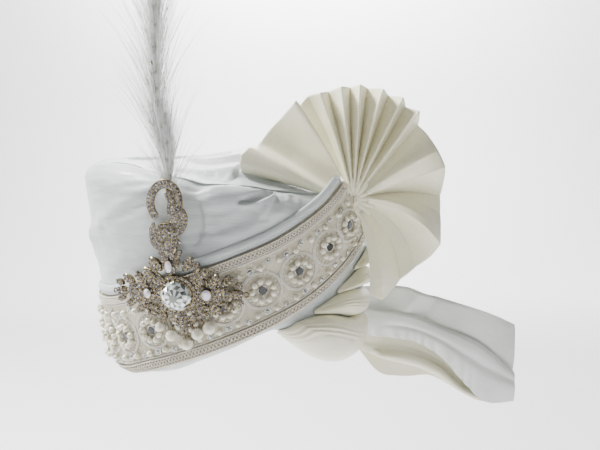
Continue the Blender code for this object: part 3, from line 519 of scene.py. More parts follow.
CLEAR_STONE = stones("clear stone", [(0.0, (0.015, 0.02, 0.015)), (0.4, (0.20, 0.22, 0.20)),
                                     (0.7, (0.55, 0.60, 0.57)), (1.0, (0.95, 0.97, 0.96))], 0.04, 0.25)
OPAL_STONE = stones("opal stone", [(0.0, (0.45, 0.42, 0.55)), (0.5, (0.78, 0.74, 0.84)),
                                   (1.0, (0.97, 0.96, 0.99))], 0.05, 0.1)
# Mirror glass coloured near black with lighter side faces: painted reflection, not the glass's own colour
MIRROR_PAINTED_DARK = stones("mirror painted with dark reflection", [(0.0, (0.006, 0.009, 0.010)), (0.6, (0.015, 0.02, 0.023)),
                                      (1.0, (0.16, 0.19, 0.20))], 0.08, 0.0, 0.0)
FEATHER = feather_finish()


# Soft folds and dents of the wall: angle and height of each end, width, lift
SOFT_FOLDS = [(-34, 105, 6, 127, 9.0, 2.6), (24, 146, 28, 108, 9.0, -4.5), (32, 127, 44, 133.5, 6.0, -3.0),
              (-75, 72, -38, 99, 11.0, 3.0), (-150, 72, -95, 119, 12.0, 4.0), (140, 80, 175, 124, 12.0, 4.0),
              (150, 35, 178, 48, 12.0, 3.0), (-120, 137, -60, 127, 10.0, -2.5),
              (-17, 113, 10, 137, 6.0, -1.9), (-14, 121, 8, 142, 6.0, 1.2), (34, 117, 44, 126, 5.5, -2.6),
              (27, 108, 43, 112, 4.5, 1.4), (29, 99, 47, 120, 5.0, -1.0), (36, 106, 52, 124, 4.0, 0.9),
              (-60, 96, -24, 119, 5.0, -1.2), (-48, 80, -30, 90, 7.0, 0.9), (-28, 66, -8, 92, 6.0, 0.8),
              (60, 131, 66, 128, 3.0, -1.2), (47, 122, 53.5, 141, 2.0, -1.5), (50, 118, 57, 135, 2.6, 0.9),
              (44.5, 118, 50, 133, 2.4, 0.8)]
# Overlapping wrap edges: angle and developed height along the edge, thickness, fade below it
WRAP_EDGES = [([(20, 141), (25.8, 145.9), (32.7, 147.9), (38.2, 148.5), (45.4, 144.6), (52, 142.7),
                (58, 141)], 2.4, 26.0),
              ([(82, 70), (100, 92), (125, 108), (150, 114), (180, 112), (215, 102), (250, 90), (285, 82),
                (312, 80)], 2.6, 34.0),
              ([(96, 60), (130, 74), (165, 80), (200, 76), (240, 62), (262, 50)], 2.2, 24.0),
              ([(100, 118), (130, 134), (165, 140), (200, 137), (240, 128), (275, 122), (300, 124)],
               2.2, 22.0)]


def segment_distance(points, start, end):
    """Distance of points in the plane from a segment."""
    span = end - start
    share = np.clip(((points - start) @ span) / (span @ span), 0, 1)
    return np.linalg.norm(points - start - share[..., None] * span, axis=-1)


def wall_relief(angle, height):
    """Folds, dents and wrap edges of the crown's wall and shoulder."""
    scale = ARC_DEGREE + 0.12
    room = np.clip((height - table_value(BAND_TOP, wrapped(angle))) / 12.0, 0, 1)
    total = np.zeros(np.broadcast(angle, height).shape)
    for angle_a, height_a, angle_b, height_b, width, lift in SOFT_FOLDS:
        for shift in (-360, 0, 360):
            spots = np.stack([(angle + shift) * scale, height + 0 * angle], axis=-1)
            gap = segment_distance(spots, np.array([angle_a * scale, height_a]),
                                   np.array([angle_b * scale, height_b]))
            total += lift * np.exp(-(gap / width) ** 2)
    for edge, thick, fade in WRAP_EDGES:
        for shift in (0, 360):
            spot = angle + shift
            inside = step((spot - edge[0][0]) / 9.0) * step((edge[-1][0] - spot) / 9.0)
            depth = table_value(edge, spot) - height
            total += (thick * inside * step((depth + 1.3) / 1.8)
                      * np.exp(-(np.clip(depth, 0, None) / fade) ** 1.5))
    # the slit between two layers, and the small gathers beside it
    middle = 135.2 + (angle - 38.8) * 0.46
    half = 2.7 * np.sqrt(np.clip(1 - ((angle - 45.6) / 6.9) ** 2, 0, None))
    inside = step((half - np.abs(height - middle)) / 1.6 + 0.4) * (half > 0)
    total -= 5.0 * inside
    total += 1.6 * np.exp(-((height - middle + half + 1.6) / 2.2) ** 2) * step((half - 0.2) / 1.5)
    swirl = np.hypot((angle - 58.8) * scale, height - 136.0)
    total += 1.1 * np.exp(-((swirl - 5.0) / 1.5) ** 2) - 0.5 * np.exp(-(swirl / 2.4) ** 2)
    # edge of the hollow beside the swan
    edge = 26.6 - ((height - 120) / 17) ** 2 * 1.6
    hollow = step((edge - angle + 0.4) / 0.9) * np.exp(-np.clip(edge - angle, 0, None) / 5.0)
    total -= 2.0 * hollow * step((height - 101) / 8) * step((141 - height) / 8)
    # faint pull lines of stretched cloth
    turn = np.radians(angle)
    total += 0.22 * np.sin(height * 0.42 + turn * 3.0) * np.sin(turn * 5 + height * 0.05)
    total += 0.18 * np.sin(height * 0.9 - angle * 0.21) * np.sin(angle * 0.13 + 1.3)
    return total * room


# Layers across the top: line in plan, thickness, fade; and rounded folds: angle and share of the plan
TOP_LAYERS = [([(58, -98), (48, -62), (30, -20), (4, 22), (-30, 62), (-62, 84)], 3.4, 26.0),
              ([(88, -62), (72, -36), (58, 4), (40, 44), (10, 86), (-8, 104)], 3.0, 24.0),
              ([(-66, -74), (-44, -46), (-30, -4), (-38, 44), (-60, 72)], 2.2, 22.0)]
TOP_FOLDS = [[(12, 0.76), (40, 0.73), (75, 0.66), (115, 0.68), (150, 0.74), (185, 0.78), (215, 0.74)],
             [(-20, 0.40), (20, 0.45), (70, 0.38), (120, 0.40), (165, 0.48), (200, 0.42)]]


def nearest_on(flat, path):
    """Signed distance from a path in plan, and the share of it that is nearest."""
    line = np.asarray(path)
    best = np.full(flat.shape[:-1], 1e9)
    sign, share = np.zeros(best.shape), np.zeros(best.shape)
    for i, (start, end) in enumerate(zip(line, line[1:])):
        gap = segment_distance(flat, start, end)
        run = end - start
        side = run[0] * (flat[..., 1] - start[1]) - run[1] * (flat[..., 0] - start[0])
        closer = gap < best
        best, sign = np.where(closer, gap, best), np.where(closer, np.sign(side), sign)
        share = np.where(closer, i / len(line), share)
    return best * sign, share


def top_relief(points):
    """Layers that cross the crown's top, by plan position."""
    flat = points[..., :2]
    total = np.zeros(flat.shape[:-1])
    for path, thick, fade in TOP_LAYERS:
        depth, share = nearest_on(flat, smooth_path(path, 40))
        ends = step(share / 0.06) * step((1 - share) / 0.12)
        total += thick * ends * step((depth + 1.0) / 2.4) * np.exp(-(np.clip(depth, 0, None) / fade) ** 1.4)
    for path in TOP_FOLDS:
        depth, share = nearest_on(flat, [plan(angle, FLARE * CROWN_HEIGHT - SHOULDER_ROUND, 0, place)[:2]
                                         for angle, place in smooth_path(path, 40)])
        ends = np.sin(np.pi * np.clip(share, 0.02, 0.98)) ** 0.6
        total += (7.0 * ends * step((12.0 + depth) / 5.0) * np.exp(-np.clip(depth, 0, None) / 16.0)
                  * (depth > -12))
    return total


def top_height(angle, share):
    edge = table_value(SHOULDER, wrapped(angle)) * CROWN_HEIGHT
    return edge + (CROWN_HEIGHT - edge) * (1 - share * share)


# Rows inside the head hollow, from its middle down to the rim: shares of its height and of its plan
HOLLOW = [(1.0, 0.02), (1.0, 0.22), (1.0, 0.42), (1.0, 0.6), (0.998, 0.78), (0.985, 0.88), (0.96, 0.94),
          (0.91, 0.98), (0.84, 1.0), (0.7, 1.0), (0.56, 1.0), (0.42, 1.0), (0.32, 1.0)]


def make_crown():
    columns = 480
    angle = np.linspace(-180, 180, columns, endpoint=False)
    rim = rim_height(angle)
    rows = []
    for height, share in HOLLOW:
        pull = 0.7 * np.sin(np.radians(angle) * 9 + height * 14) * (share > 0.8)
        rows.append(plan(angle, -WALL + pull - 0.6, CAVITY_HEIGHT * height, share))
    side = WALL - EDGE_ROUND
    for turn in np.radians([90, 70, 50, 30, 12]):
        rows.append(plan(angle, FLARE * rim * math.cos(turn) - EDGE_ROUND - side * math.sin(turn),
                         rim + side - side * math.cos(turn)))
    rows += [wall(angle, rim + ROLL * share) for share in np.linspace(0, 1, 9)]
    top = table_value(SHOULDER, angle) * CROWN_HEIGHT - SHOULDER_ROUND
    low = rim + EDGE_ROUND
    for share in np.linspace(0, 1, 92)[1:]:
        height = low + (top - low) * share
        rows.append(wall(angle, wall_rise(height), wall_relief(angle, height)))
    for tilt in np.linspace(0, 90, 19)[1:]:
        turn = math.radians(tilt)
        relief = wall_relief(angle, top + SHOULDER_ROUND * turn)
        reach = FLARE * (top - EDGE_ROUND) - SHOULDER_ROUND * (1 - math.cos(turn)) + relief * math.cos(turn)
        spots = plan(angle, reach, top + (SHOULDER_ROUND + relief) * math.sin(turn))
        spots[:, 2] += top_relief(spots) * step((tilt - 25) / 65)
        rows.append(spots)
    last = wall_relief(angle, top + SHOULDER_ROUND * math.pi / 2)
    for share in np.linspace(1, 0.01, 46)[1:]:
        spots = plan(angle, FLARE * CROWN_HEIGHT - SHOULDER_ROUND, top_height(angle, share), share)
        spots[:, 2] += top_relief(spots) + last * step((share - 0.75) / 0.25)
        spots[:, 2] += 0.5 * np.sin(spots[:, 0] * 0.11 + spots[:, 1] * 0.05) * np.sin(spots[:, 1] * 0.07)
        rows.append(spots)
    verts = np.stack(rows)
    made = piece("crown_cloth", verts, grid_faces(len(rows), columns, True), WHITE_SATIN,
                 ("crown", "top_fold_1", "top_fold_2", "front_fold"), uv=flat_map(angle * ARC_DEGREE, verts))


def strip_grid(name, count, profile, material, stands_for):
    """Strip along the band through a profile of distance across and lift."""
    along = np.linspace(0, BAND_LENGTH, count)
    rows = [band_at(along, across, lift) for across, lift in profile]
    faces = grid_faces(len(rows), count)[:, ::-1]
    return piece(name, np.stack(rows), faces, material, stands_for, uv=flat_map(along, profile))


def make_band():
    half = BAND_WIDTH / 2
    profile = [(-half, GAP)]
    for across in np.linspace(-half, half, 44):
        edge = min(half - abs(across), 1.2) / 1.2
        profile.append((across, GAP + BAND_WALL * math.sqrt(max(edge * (2 - edge), 0.0))))
    profile.append((half, GAP))
    made = strip_grid("band_net", 620, profile, NET, ("band",))
    low, high = half + GAP, half + BINDING_WIDTH
    profile = []
    for share in np.linspace(0, 1, 22):
        bulge = math.sqrt(math.sin(math.pi * share))
        crease = 1 - 0.30 * math.exp(-((share - 0.36) / 0.05) ** 2)
        profile.append((low + (high - low) * share, GAP + BINDING_HEIGHT * bulge * crease))
    made = strip_grid("binding_satin", 420, profile, WHITE_SATIN, ("binding",))


def make_laces():
    """Two braided laces: a flat tape coloured dark as painted shade in the gaps between stitches, a cord at
    each edge and crossed stitches between them.
    """
    pile, ground = Pile(), Pile()
    stitch, share, edge = 2.7, np.linspace(-1, 1, 4), LACE_WIDTH - 0.45
    for low, lift in ((BAND_WIDTH / 2 - LACE_WIDTH, GAP * 2 + BAND_WALL),
                      (-BAND_WIDTH / 2 + LACE_INSET, GAP * 2 + BAND_WALL + 0.6)):
        along = np.arange(0.5, BAND_LENGTH - 0.5, 1.6)
        # the tape shows between the stitches; its dark colour is painted shade of those gaps
        tape = [band_at(along, low + across, lift + up)
                for across, up in ((0.1, 0.0), (0.3, 0.35), (edge - 0.25, 0.35), (edge, 0.0))]
        ground.add(np.stack(tape).reshape(-1, 3), grid_faces(4, len(along))[:, ::-1])
        for across in (0.65, LACE_WIDTH - 1.0):
            points = band_at(along, low + across, lift + 0.75)
            pile.wire(points, 0.52, normal=points * (1, 1, 0))
        for place in np.arange(1.5, BAND_LENGTH - 1.5, stitch):
            for lean, up in ((1, 0.55), (-1, 0.85)):
                points = band_at(place + lean * share * stitch * 0.5,
                                 low + LACE_WIDTH / 2 - 0.15 + share * 1.9,
                                 lift + up + 0.25 * (1 - share ** 2))
                pile.wire(points, np.array([0.3, 0.46, 0.46, 0.3]), 5, normal=points.mean(0) * (1, 1, 0))
    ground.piece("lace_tape_painted_shade", LACE_GAP_SHADE, "braided_lace")
    pile.piece("lace_braids", LACE_THREAD, "braided_lace", ("lace_upper", "lace_lower"), sharp=60)


SMALL_STONE = turned([(0.52, 0.0), (0.52, 0.22), (0.34, 0.42), (0.20, 0.52)], 8, True)
CUP = turned([(0.50, 0.0), (0.62, 0.10), (0.62, 0.30), (0.53, 0.30), (0.50, 0.16)], 10)


def add_stone(gems, cups, place, size, height=1.0):
    """Cut stone of a size in a round cup."""
    scale = Matrix.Diagonal((size, size, size * height, 1))
    # random facet values, which the stone ramps turn into painted glints and reflections
    gems.place(SMALL_STONE, place @ scale, chance.random(len(SMALL_STONE[1])))
    cups.place(CUP, place @ scale)


# Embroidery: ring of seed beads round a flower, and the two rows of stones across the band
SEED_RING = 11.2
STONE_ROWS = ((1, 17.0), (-1, -16.4))
FIELD_LOW, FIELD_HIGH = -21.5, 24.5


def make_embroidery():
    """Pearl flowers with mirrors, rows of pearls and stones, and raised cords round the flowers."""
    pearls, cups, gems, mirrors, cords = Pile(), Pile(), Pile(), Pile(), Pile()
    ground = GAP * 2 + BAND_WALL
    ring = (MIRROR + PEARL) / 2 + PEARL_SPACE
    bead, seed = ball(12, 7, -0.85), ball(8, 5, -0.8)
    disc = turned([(0.5, 0.0), (0.5, 0.22), (0.44, 0.27)], 20)
    spots = FLOWERS + [1.05, 2.1, 3.1]
    number = -1.85
    while ORIGIN + number * FLOWER_PITCH > 16:
        spots.append(number)
        number -= 1.0
    for spot in sorted(spots):
        along = ORIGIN + spot * FLOWER_PITCH
        squeeze = 0.86 if spot > 6.5 else 1.0
        for index in range(SEWN):
            turn = math.tau * (index + 0.12 * chance.random()) / SEWN
            reach = ring * (1 + 0.03 * (chance.random() - 0.5))
            place = band_frame(along + reach * math.cos(turn) * squeeze, reach * math.sin(turn), ground)
            size = SEWN_PEARL / 2 * (0.96 + 0.06 * chance.random()) * math.sqrt(squeeze)
            pearls.sew(bead, place, size * 0.9, size)
        place = band_frame(along, 0, ground) @ Matrix.Rotation(0.10 * (chance.random() - 0.5), 4, "X")
        # lighter side and bevel, near-black face: painted reflection of the mirror
        tones = [0.9] * 20 + [0.7] * 20 + [chance.random() * 0.5]
        mirrors.place(disc, place @ Matrix.Scale(MIRROR, 4), tones)
        for pile, radius, wide, high, lift, count in (
                (cups, 3.3, 1.0, 1.0, 0.7, 20), (cords, 13.0, squeeze, 1.02, 0.35, 44),
                (cords, 14.0, squeeze, 1.02, 0.35, 44)):
            turns = circle(count)
            pile.wire(band_at(along + radius * np.cos(turns) * wide, radius * np.sin(turns) * high,
                              ground + lift), 0.42, 5, closed=True)
        for turn in circle(22):
            cords.sew(seed, band_frame(along + SEED_RING * math.cos(turn) * squeeze,
                                       SEED_RING * math.sin(turn), ground), 0.35, 0.62)
    # two rows: pearl, stone, pearl beside a flower, then a stone between flowers
    for index in range(4 * 64):
        along = ORIGIN - FLOWER_PITCH * 40 + index * FLOWER_PITCH / 4
        if not 6 < along < BAND_LENGTH - 5:
            continue
        kind = index % 4
        for side, base in STONE_ROWS:
            across = base + side * (1.7 if kind == 2 else 0.0)
            jitter = 0.6 * (chance.random(2) - 0.5)
            place = band_frame(along + jitter[0], across + jitter[1], ground)
            if kind in (1, 3):
                size = PEARL / 2 * (1.08 + 0.12 * chance.random())
                pearls.sew(bead, place, size * 0.9, size)
            else:
                turn = Matrix.Rotation(chance.random() * 3, 4, "Z")
                add_stone(gems, cups, place @ turn, 3.4 if kind else 4.0)
    # a thin cord inside each lace, and fine scattered seed beads
    for across in (FIELD_HIGH - 0.9, FIELD_LOW + 0.9):
        points = band_at(np.arange(1.0, BAND_LENGTH - 1.0, 2.2), across, ground + 0.2)
        cords.wire(points, 0.48, 5, normal=points * (1, 1, 0))
    for along in np.arange(6, BAND_LENGTH - 6, 1.15):
        across = FIELD_LOW + 3 + chance.random() * (FIELD_HIGH - FIELD_LOW - 6)
        cords.sew(seed, band_frame(along, across, ground), 0.25, 0.45 + 0.2 * chance.random())
    pearls.piece("sewn_pearls", PEARL_COAT, "pearl", tuple(f"flower_{index}" for index in range(1, 8)))
    gems.piece("sewn_stones", CLEAR_STONE, "cut_glass", smooth=False, has_painted_light=True)
    cups.piece("stone_cups", SILVER, "antique_gold", sharp=50)
    mirrors.piece("flower_mirrors", MIRROR_PAINTED_DARK, "cut_glass", smooth=False, has_painted_light=True)
    cords.piece("raised_cords", CORD_THREAD, "embroidered_net")


# Leaves of stones: x, y, turn, length, width; those of the first list also stand mirrored
JEWEL_LEAVES = [(18.5, 0, 0, 14, 8.5), (31, 1.5, 0, 15, 10.0), (42.5, 0, 0, 11, 7.0),
                (36, 9, 38, 12, 6.5), (27, 10.5, 62, 13, 6.5), (19, 14.5, 48, 14, 7.5),
                (15.5, 20, 74, 9, 5.0), (36, -8, -36, 11, 6.0), (27, -9.5, -58, 13, 6.5),
                (18, -12.5, -60, 13, 7.0), (11, -17, -82, 9, 5.0), (44, 6.5, 30, 7, 4.5),
                (44, -5.5, -28, 7, 4.5)]
JEWEL_MIDDLE = [(-3.5, 20, 88, 13, 8.5), (9.5, 23, 50, 13, 7.5), (-14, 22.5, 130, 13, 7.5),
                (-2.5, 30.5, 90, 8, 6.0), (-8, 30, 128, 8, 4.5), (3, 30, 52, 8, 4.5),
                (3, -19, 90, 13, 9.0), (4, -27, 96, 9, 5.5), (-4, -17, 118, 10, 5.5)]
# Ribbons of the swan: its line, width, lift and size of stone
SWAN = [([(-10.8, 57.5), (-13.6, 64.0), (-12.4, 73.0), (-7.2, 79.0), (-1.2, 80.6), (4.1, 77.5),
          (6.2, 70.5), (5.8, 62.5), (2.8, 55.5), (-3.6, 48.0)], 5.4, 3.0, 2.3),
        ([(-0.6, 74.0), (1.4, 68.0), (0.4, 60.0), (6.9, 62.5), (9.6, 56.5), (7.6, 50.0), (1.6, 43.5)],
         4.6, 3.4, 2.1),
        ([(-14.5, 44.5), (-13.6, 38), (-8.5, 34.5), (-2, 35), (5, 40)], 3.4, 3.0, 1.9),
        ([(-12.2, 52.5), (-15.0, 46.5), (-13.6, 40.5)], 2.4, 3.2, 1.9)]
BREAST, HIP = (-4.8, 44.5), (-3.2, 35)
# Iridescent stones: x, y, length, width
OPALS = ((21.4, 0.8, 8.0, 6.4), (-4.0, 21.5, 9.0, 4.6), (-21.4, 0.8, 7.0, 5.0))


class Jewel:
    """Gold of the brooch, with its stones and their cups."""

    def __init__(self):
        self.gold, self.gems, self.cups = Pile(), Pile(), Pile()

    def stones(self, places, size, height=1.0):
        for place in places:
            add_stone(self.gems, self.cups, place, size, height)

    def leaf(self, x, y, turn, length, width, lift):
        """Pointed leaf: a low gold plate with rows of stones."""
        place = brooch_frame(x, y, 0.2, turn)
        turns = circle(22)
        edge = np.stack([np.cos(turns) * length / 2,
                         np.sin(turns) * width / 2 * (1 - 0.42 * np.abs(np.cos(turns)) ** 3)], axis=1)
        rings = [np.column_stack([edge * scale, np.full(22, height)])
                 for scale, height in ((0.97, 0.0), (1.0, lift * 0.55), (0.84, lift), (0.4, lift + 0.3))]
        self.gold.place((np.vstack(rings), grid_faces(4, 22, True).tolist() + [tuple(range(66, 88))]), place)
        rows = [(share * length * 0.36, 0.0, width * (0.36 - 0.10 * abs(share)))
                for share in (-0.75, 0.0, 0.75)]
        rows += [(share * length * 0.40, side * width * 0.31, width * 0.25) for share in (-0.5, 0.12, 0.66)
                 for side in (-1, 1)]
        for u, v, size in rows + [(length * 0.43, 0.0, width * 0.22)]:
            tilt = Matrix.Rotation(0.25 * (chance.random() - 0.5), 4, "X")
            self.stones([place @ Matrix.Translation((u, v, lift)) @ tilt], min(max(size, 1.3), 3.0), 1.1)

    def ribbon(self, points, width, lift, size):
        """Ribbon of one or two rows of small stones between gold wires."""
        path = smooth_path(points, max(int(reach_along(points)[-1] / size), 4))
        run = np.gradient(path, axis=0)
        run /= np.linalg.norm(run, axis=1)[:, None]
        lows, highs = [], []
        for (x, y), (ahead_x, ahead_y) in zip(path, run):
            for share in (-0.25, 0.25) if width > size * 1.6 else (0,):
                at = share * width
                self.stones([brooch_frame(x - ahead_y * at, y + ahead_x * at, lift)], size)
            for edge, half in ((lows, -width / 2), (highs, width / 2)):
                edge.append(brooch_spot(x - ahead_y * half, y + ahead_x * half, lift))
        normal = np.array(brooch_frame(0, 0).col[2].to_3d())
        self.gold.wire(lows, 0.42, normal=normal)
        self.gold.wire(highs, 0.42, normal=normal)
        self.gold.wire((np.array(lows) + np.array(highs)) / 2 - normal * 0.3, width * 0.48, 8, flat=0.4,
                       normal=normal)

    def disc(self, x, y, radius):
        """Low gold disc under the leaves, set with rings of stones."""
        self.gold.place(turned([(radius, 0.0), (radius, 1.0), (radius - 1.5, 1.3)], 24),
                        brooch_frame(x, y, 0.1))
        for reach in (radius - 1.3, radius - 3.9, radius - 6.4):
            self.stones(brooch_ring(x, y, reach, max(int(math.tau * reach / 2.5), 1), 1.3, reach), 2.2)

    def ring(self, x, y, radius, count, lift, thick, sides=6):
        self.gold.wire([place.translation for place in brooch_ring(x, y, radius, count, lift)], thick, sides,
                       closed=True)


def make_brooch():
    jewel, opals, drops = Jewel(), Pile(), Pile()
    rows = list(JEWEL_MIDDLE)
    for x, y, turn, length, width in JEWEL_LEAVES:
        rows += [(x, y, turn, length, width), (-x, y, 180 - turn, length, width)]
    for number, row in enumerate(rows):
        jewel.leaf(*row, 1.5 + 0.5 * (number % 3))
    # setting with its ring of stones and its claws
    jewel.gold.place(turned([(14.6, 0.0), (15.0, 1.0), (14.4, 2.4), (12.4, 2.6), (12.0, 3.4), (11.2, 3.4)],
                            48), brooch_frame(0, 0, 0.1))
    jewel.stones(brooch_ring(0, 0, 13.4, 26, 2.5), 2.3)
    for index in range(20):
        turn = math.tau * index / 20
        jewel.gold.wire([brooch_spot(reach * math.cos(turn), reach * math.sin(turn), lift)
                         for reach, lift in ((11.9, 2.6), (11.7, 4.6), (10.9, 5.3))], 0.42, 5)
    # curls between the leaves
    for side in (-1, 1):
        for sign in (1, -1):
            points = [brooch_spot(side * (19.5 + 3.6 * math.exp(-t * 0.16) * math.sin(t)),
                                  sign * (9.0 + 3.6 * math.exp(-t * 0.16) * math.cos(t)), 3.1)
                      for t in np.linspace(0, 4.4, 18)]
            jewel.gold.wire(points, 0.5)
    shape, faces = turned([(0.52, 0.0), (0.5, 0.25), (0.30, 0.5)], 12)
    for x, y, length, width in OPALS:
        place = brooch_frame(x, y, 3.2, 90)
        # random facet values: painted glints over the opal's lilac
        opals.place((shape, faces), place @ Matrix.Diagonal((length, width, 4.0, 1)),
                    chance.random(len(faces)))
        jewel.gold.wire([place @ Vector((length * 0.54 * math.cos(t), width * 0.54 * math.sin(t), 0.4))
                         for t in circle(24)], 0.45, closed=True)
    # swan: ribbons, breast, hip and beak
    for row in SWAN:
        jewel.ribbon(*row)
    for radius, count in ((1.2, 3), (4.0, 9), (6.9, 15)):
        jewel.stones(brooch_ring(*BREAST, radius, count, 3.6, radius), 2.3)
    jewel.gold.place(turned([(8.8, 0.0), (8.8, 2.4), (8.2, 3.6), (4.0, 3.7)], 32), brooch_frame(*BREAST))
    jewel.gold.place(turned([(5.6, 0.0), (5.4, 2.2), (3.0, 2.8)], 24), brooch_frame(*HIP))
    jewel.stones(brooch_ring(*HIP, 3.4, 8, 2.6) + [brooch_frame(*HIP, 2.6)], 2.1)
    jewel.stones([brooch_frame(-10.8, 57.0, 3.4)], 3.0)
    # end rings, and discs that fill the back
    for side in (-1, 1):
        jewel.ring(side * 49.2, -0.6, 1.7, 16, 1.8, 0.5)
        for x, y in ((0, 0), (side * 30, 0), (side * 17, 9), (side * 17, -9)):
            jewel.disc(x, y, 8.0)
    jewel.disc(-3, 24, 7.0)
    jewel.disc(3, -19, 7.0)
    # drop pearls with their hangers and caps
    for x, y, size in DROPS:
        lift = size / 2 + 2 * GAP + BAND_WALL - BROOCH_LIFT
        drops.place(ball(28, 18), brooch_frame(x, y, lift) @ Matrix.Scale(size / 2, 4))
        inner = 1 - (size / 2 + 0.1) / math.hypot(x, y)
        top = brooch_spot(x * inner, y * inner, lift)
        root = brooch_spot(x * inner * 0.86, y * inner * 0.86, 1.6)
        jewel.gold.wire([root, (root + top) / 2, top], 0.5)
        jewel.ring(x * inner, y * inner, 1.5, 14, lift, 0.38, 5)
    jewel.gold.piece("brooch_gold", GOLD, "antique_gold", ("brooch",), sharp=35)
    jewel.gems.piece("brooch_stones", RHINESTONE, "cut_glass", smooth=False, has_painted_light=True)
    jewel.cups.piece("brooch_cups", GOLD, "antique_gold", sharp=50)
    opals.piece("opal_stones", OPAL_STONE, "cut_glass", smooth=False, has_painted_light=True)
    drops.piece("drop_pearls", PEARL_COAT, "pearl", tuple(f"pearl_drop_{index}" for index in range(1, 6)))


def make_centre_stone():
    """Round brilliant: kite and star facets round a small table, with painted glints and reflections set
    facet by facet.
    """
    pile, sides, seat = Pile(), 16, 2.6 + GAP
    rings = [(1.0, 0.10, 0.0), (1.0, 0.22, 0.0), (0.84, 0.52, 0.5), (0.60, 0.82, 0.0), (0.26, 1.0, 0.5)]
    share, height, shift = np.array(rings).T[..., None]
    verts = ring_grid(STONE / 2 * share, seat + STONE_HEIGHT * height,
                      math.tau * (np.arange(sides) + shift) / sides)
    quads = grid_faces(5, sides, True).tolist()
    faces = quads[:sides] + split_quads(quads[sides:], sides)
    # light and dark facet values: painted glints and reflections of the brilliant
    glint_pattern = (0.92, 0.30, 0.70, 0.10, 0.86, 0.55, 0.97, 0.22)
    tones = [0.75] * sides
    for first, second, shift in ((1, 5, 2), (1, 7, 4), (3, 5, 2)):
        for side in range(sides):
            tones += [glint_pattern[(side * 3 + first) % 8], glint_pattern[(side * second + shift) % 8]]
    faces.append(tuple(range(4 * sides, 5 * sides)))
    faces += [(5 * sides, (side + 1) % sides, side) for side in range(sides)]
    pile.place((np.vstack([verts, (0, 0, seat)]), faces), brooch_frame(0, 0), tones + [0.35] + [0.3] * sides)
    pile.piece("centre_brilliant", CLEAR_STONE, "cut_glass", ("centre_stone",), smooth=False, has_painted_light=True)


# Hairs of the plume: how many, first and last place on the shaft, least and most spread, least and most
# length, half thickness, share on the wearer's right
HAIRS = [(1700, 0.0, 0.13, 1, 15, 36, 62, 0.13, 0.50), (850, 0.20, 0.97, 1, 8, 26, 40, 0.11, 0.50),
         (850, 0.03, 0.85, 8, 27, 40, 64, 0.13, 0.58), (560, 0.04, 0.80, 17, 46, 46, 80, 0.20, 0.60),
         (150, 0.0, 0.08, 24, 58, 30, 50, 0.18, 0.64)]
PLUME_TOP = 162.0


def make_plume():
    """Feather: a bent shaft and many fine hairs that leave it upwards."""
    place = brooch_frame(*PLUME_FOOT)
    along, out = np.array(place.col[0].to_3d()), np.array(place.col[2].to_3d())
    foot = brooch_spot(*PLUME_FOOT, -GAP) - out * (FERRULE / 2)
    knots = np.arange(60)
    shaft = smooth_path([(0, -8), (-0.8, 8), (-4.6, 34), (-6.8, 66), (-6.6, 108), (-6.6, 158)], len(knots))
    tangent = np.arctan2(np.gradient(shaft[:, 0]), np.gradient(shaft[:, 1]))
    pile = Pile()
    pile.wire(foot + along * shaft[:, :1] + UP * shaft[:, 1:], np.linspace(1.5, 0.22, len(knots)))
    kinds = [kind for kind in HAIRS for _ in range(kind[0])]
    count, spots = len(kinds), 9
    share = np.linspace(0, 1, spots)
    verts = np.empty((count, spots, 2, 3))
    for index, (_, first, last, near, wide, short, long, half, leftward) in enumerate(kinds):
        place = (first + (last - first) * chance.random()) * knots[-1]
        base_x, base_y, turned_by = (np.interp(place, knots, line)
                                     for line in (shaft[:, 0], shaft[:, 1], tangent))
        spread = near + (wide - near) * chance.random() ** 1.3
        length = min(short + (long - short) * chance.random(), (PLUME_TOP - base_y) * 1.05)
        around = math.pi * (0.5 + chance.random()) if chance.random() < leftward else (
            math.pi * (chance.random() - 0.5))
        curl = 10 * (chance.random() - 0.35)
        lean = np.radians(spread * (0.55 + 0.45 * share) + curl * share ** 2)
        lean = (lean[1:] + lean[:-1]) / 2
        out_reach, up_reach = (np.concatenate([[0], np.cumsum(part * (length / (spots - 1)))])
                               for part in (np.sin(lean), np.cos(lean)))
        x = base_x + out_reach * math.cos(around) + up_reach * math.sin(turned_by)
        y = np.minimum(base_y + up_reach * math.cos(turned_by), PLUME_TOP)
        z = out_reach * math.sin(around) * 0.35
        line = foot + along * x[:, None] + UP * y[:, None] + out * z[:, None]
        turn = chance.random() * math.pi
        thick = (along * math.cos(turn) + out * math.sin(turn)) * (half * (1 - 0.72 * share)[:, None])
        verts[index, :, 0], verts[index, :, 1] = line - thick, line + thick
    first = (np.arange(count)[:, None] * spots * 2 + np.arange(spots - 1)[None] * 2).reshape(-1)
    pile.add(verts.reshape(-1, 3), np.stack([first, first + 1, first + 3, first + 2], axis=1))
    pile.piece("plume_hairs", FEATHER, "feather", ("plume",))
    ferrule = Pile()
    ferrule.place(turned([(1.9, 0.0), (2.6, 0.8), (2.5, 6.0), (3.0, 9.5), (2.6, 10.5)], 20),
                  Matrix.Translation(Vector(foot - UP * FERRULE)))
    ferrule.piece("plume_ferrule", GOLD, "antique_gold", sharp=40)


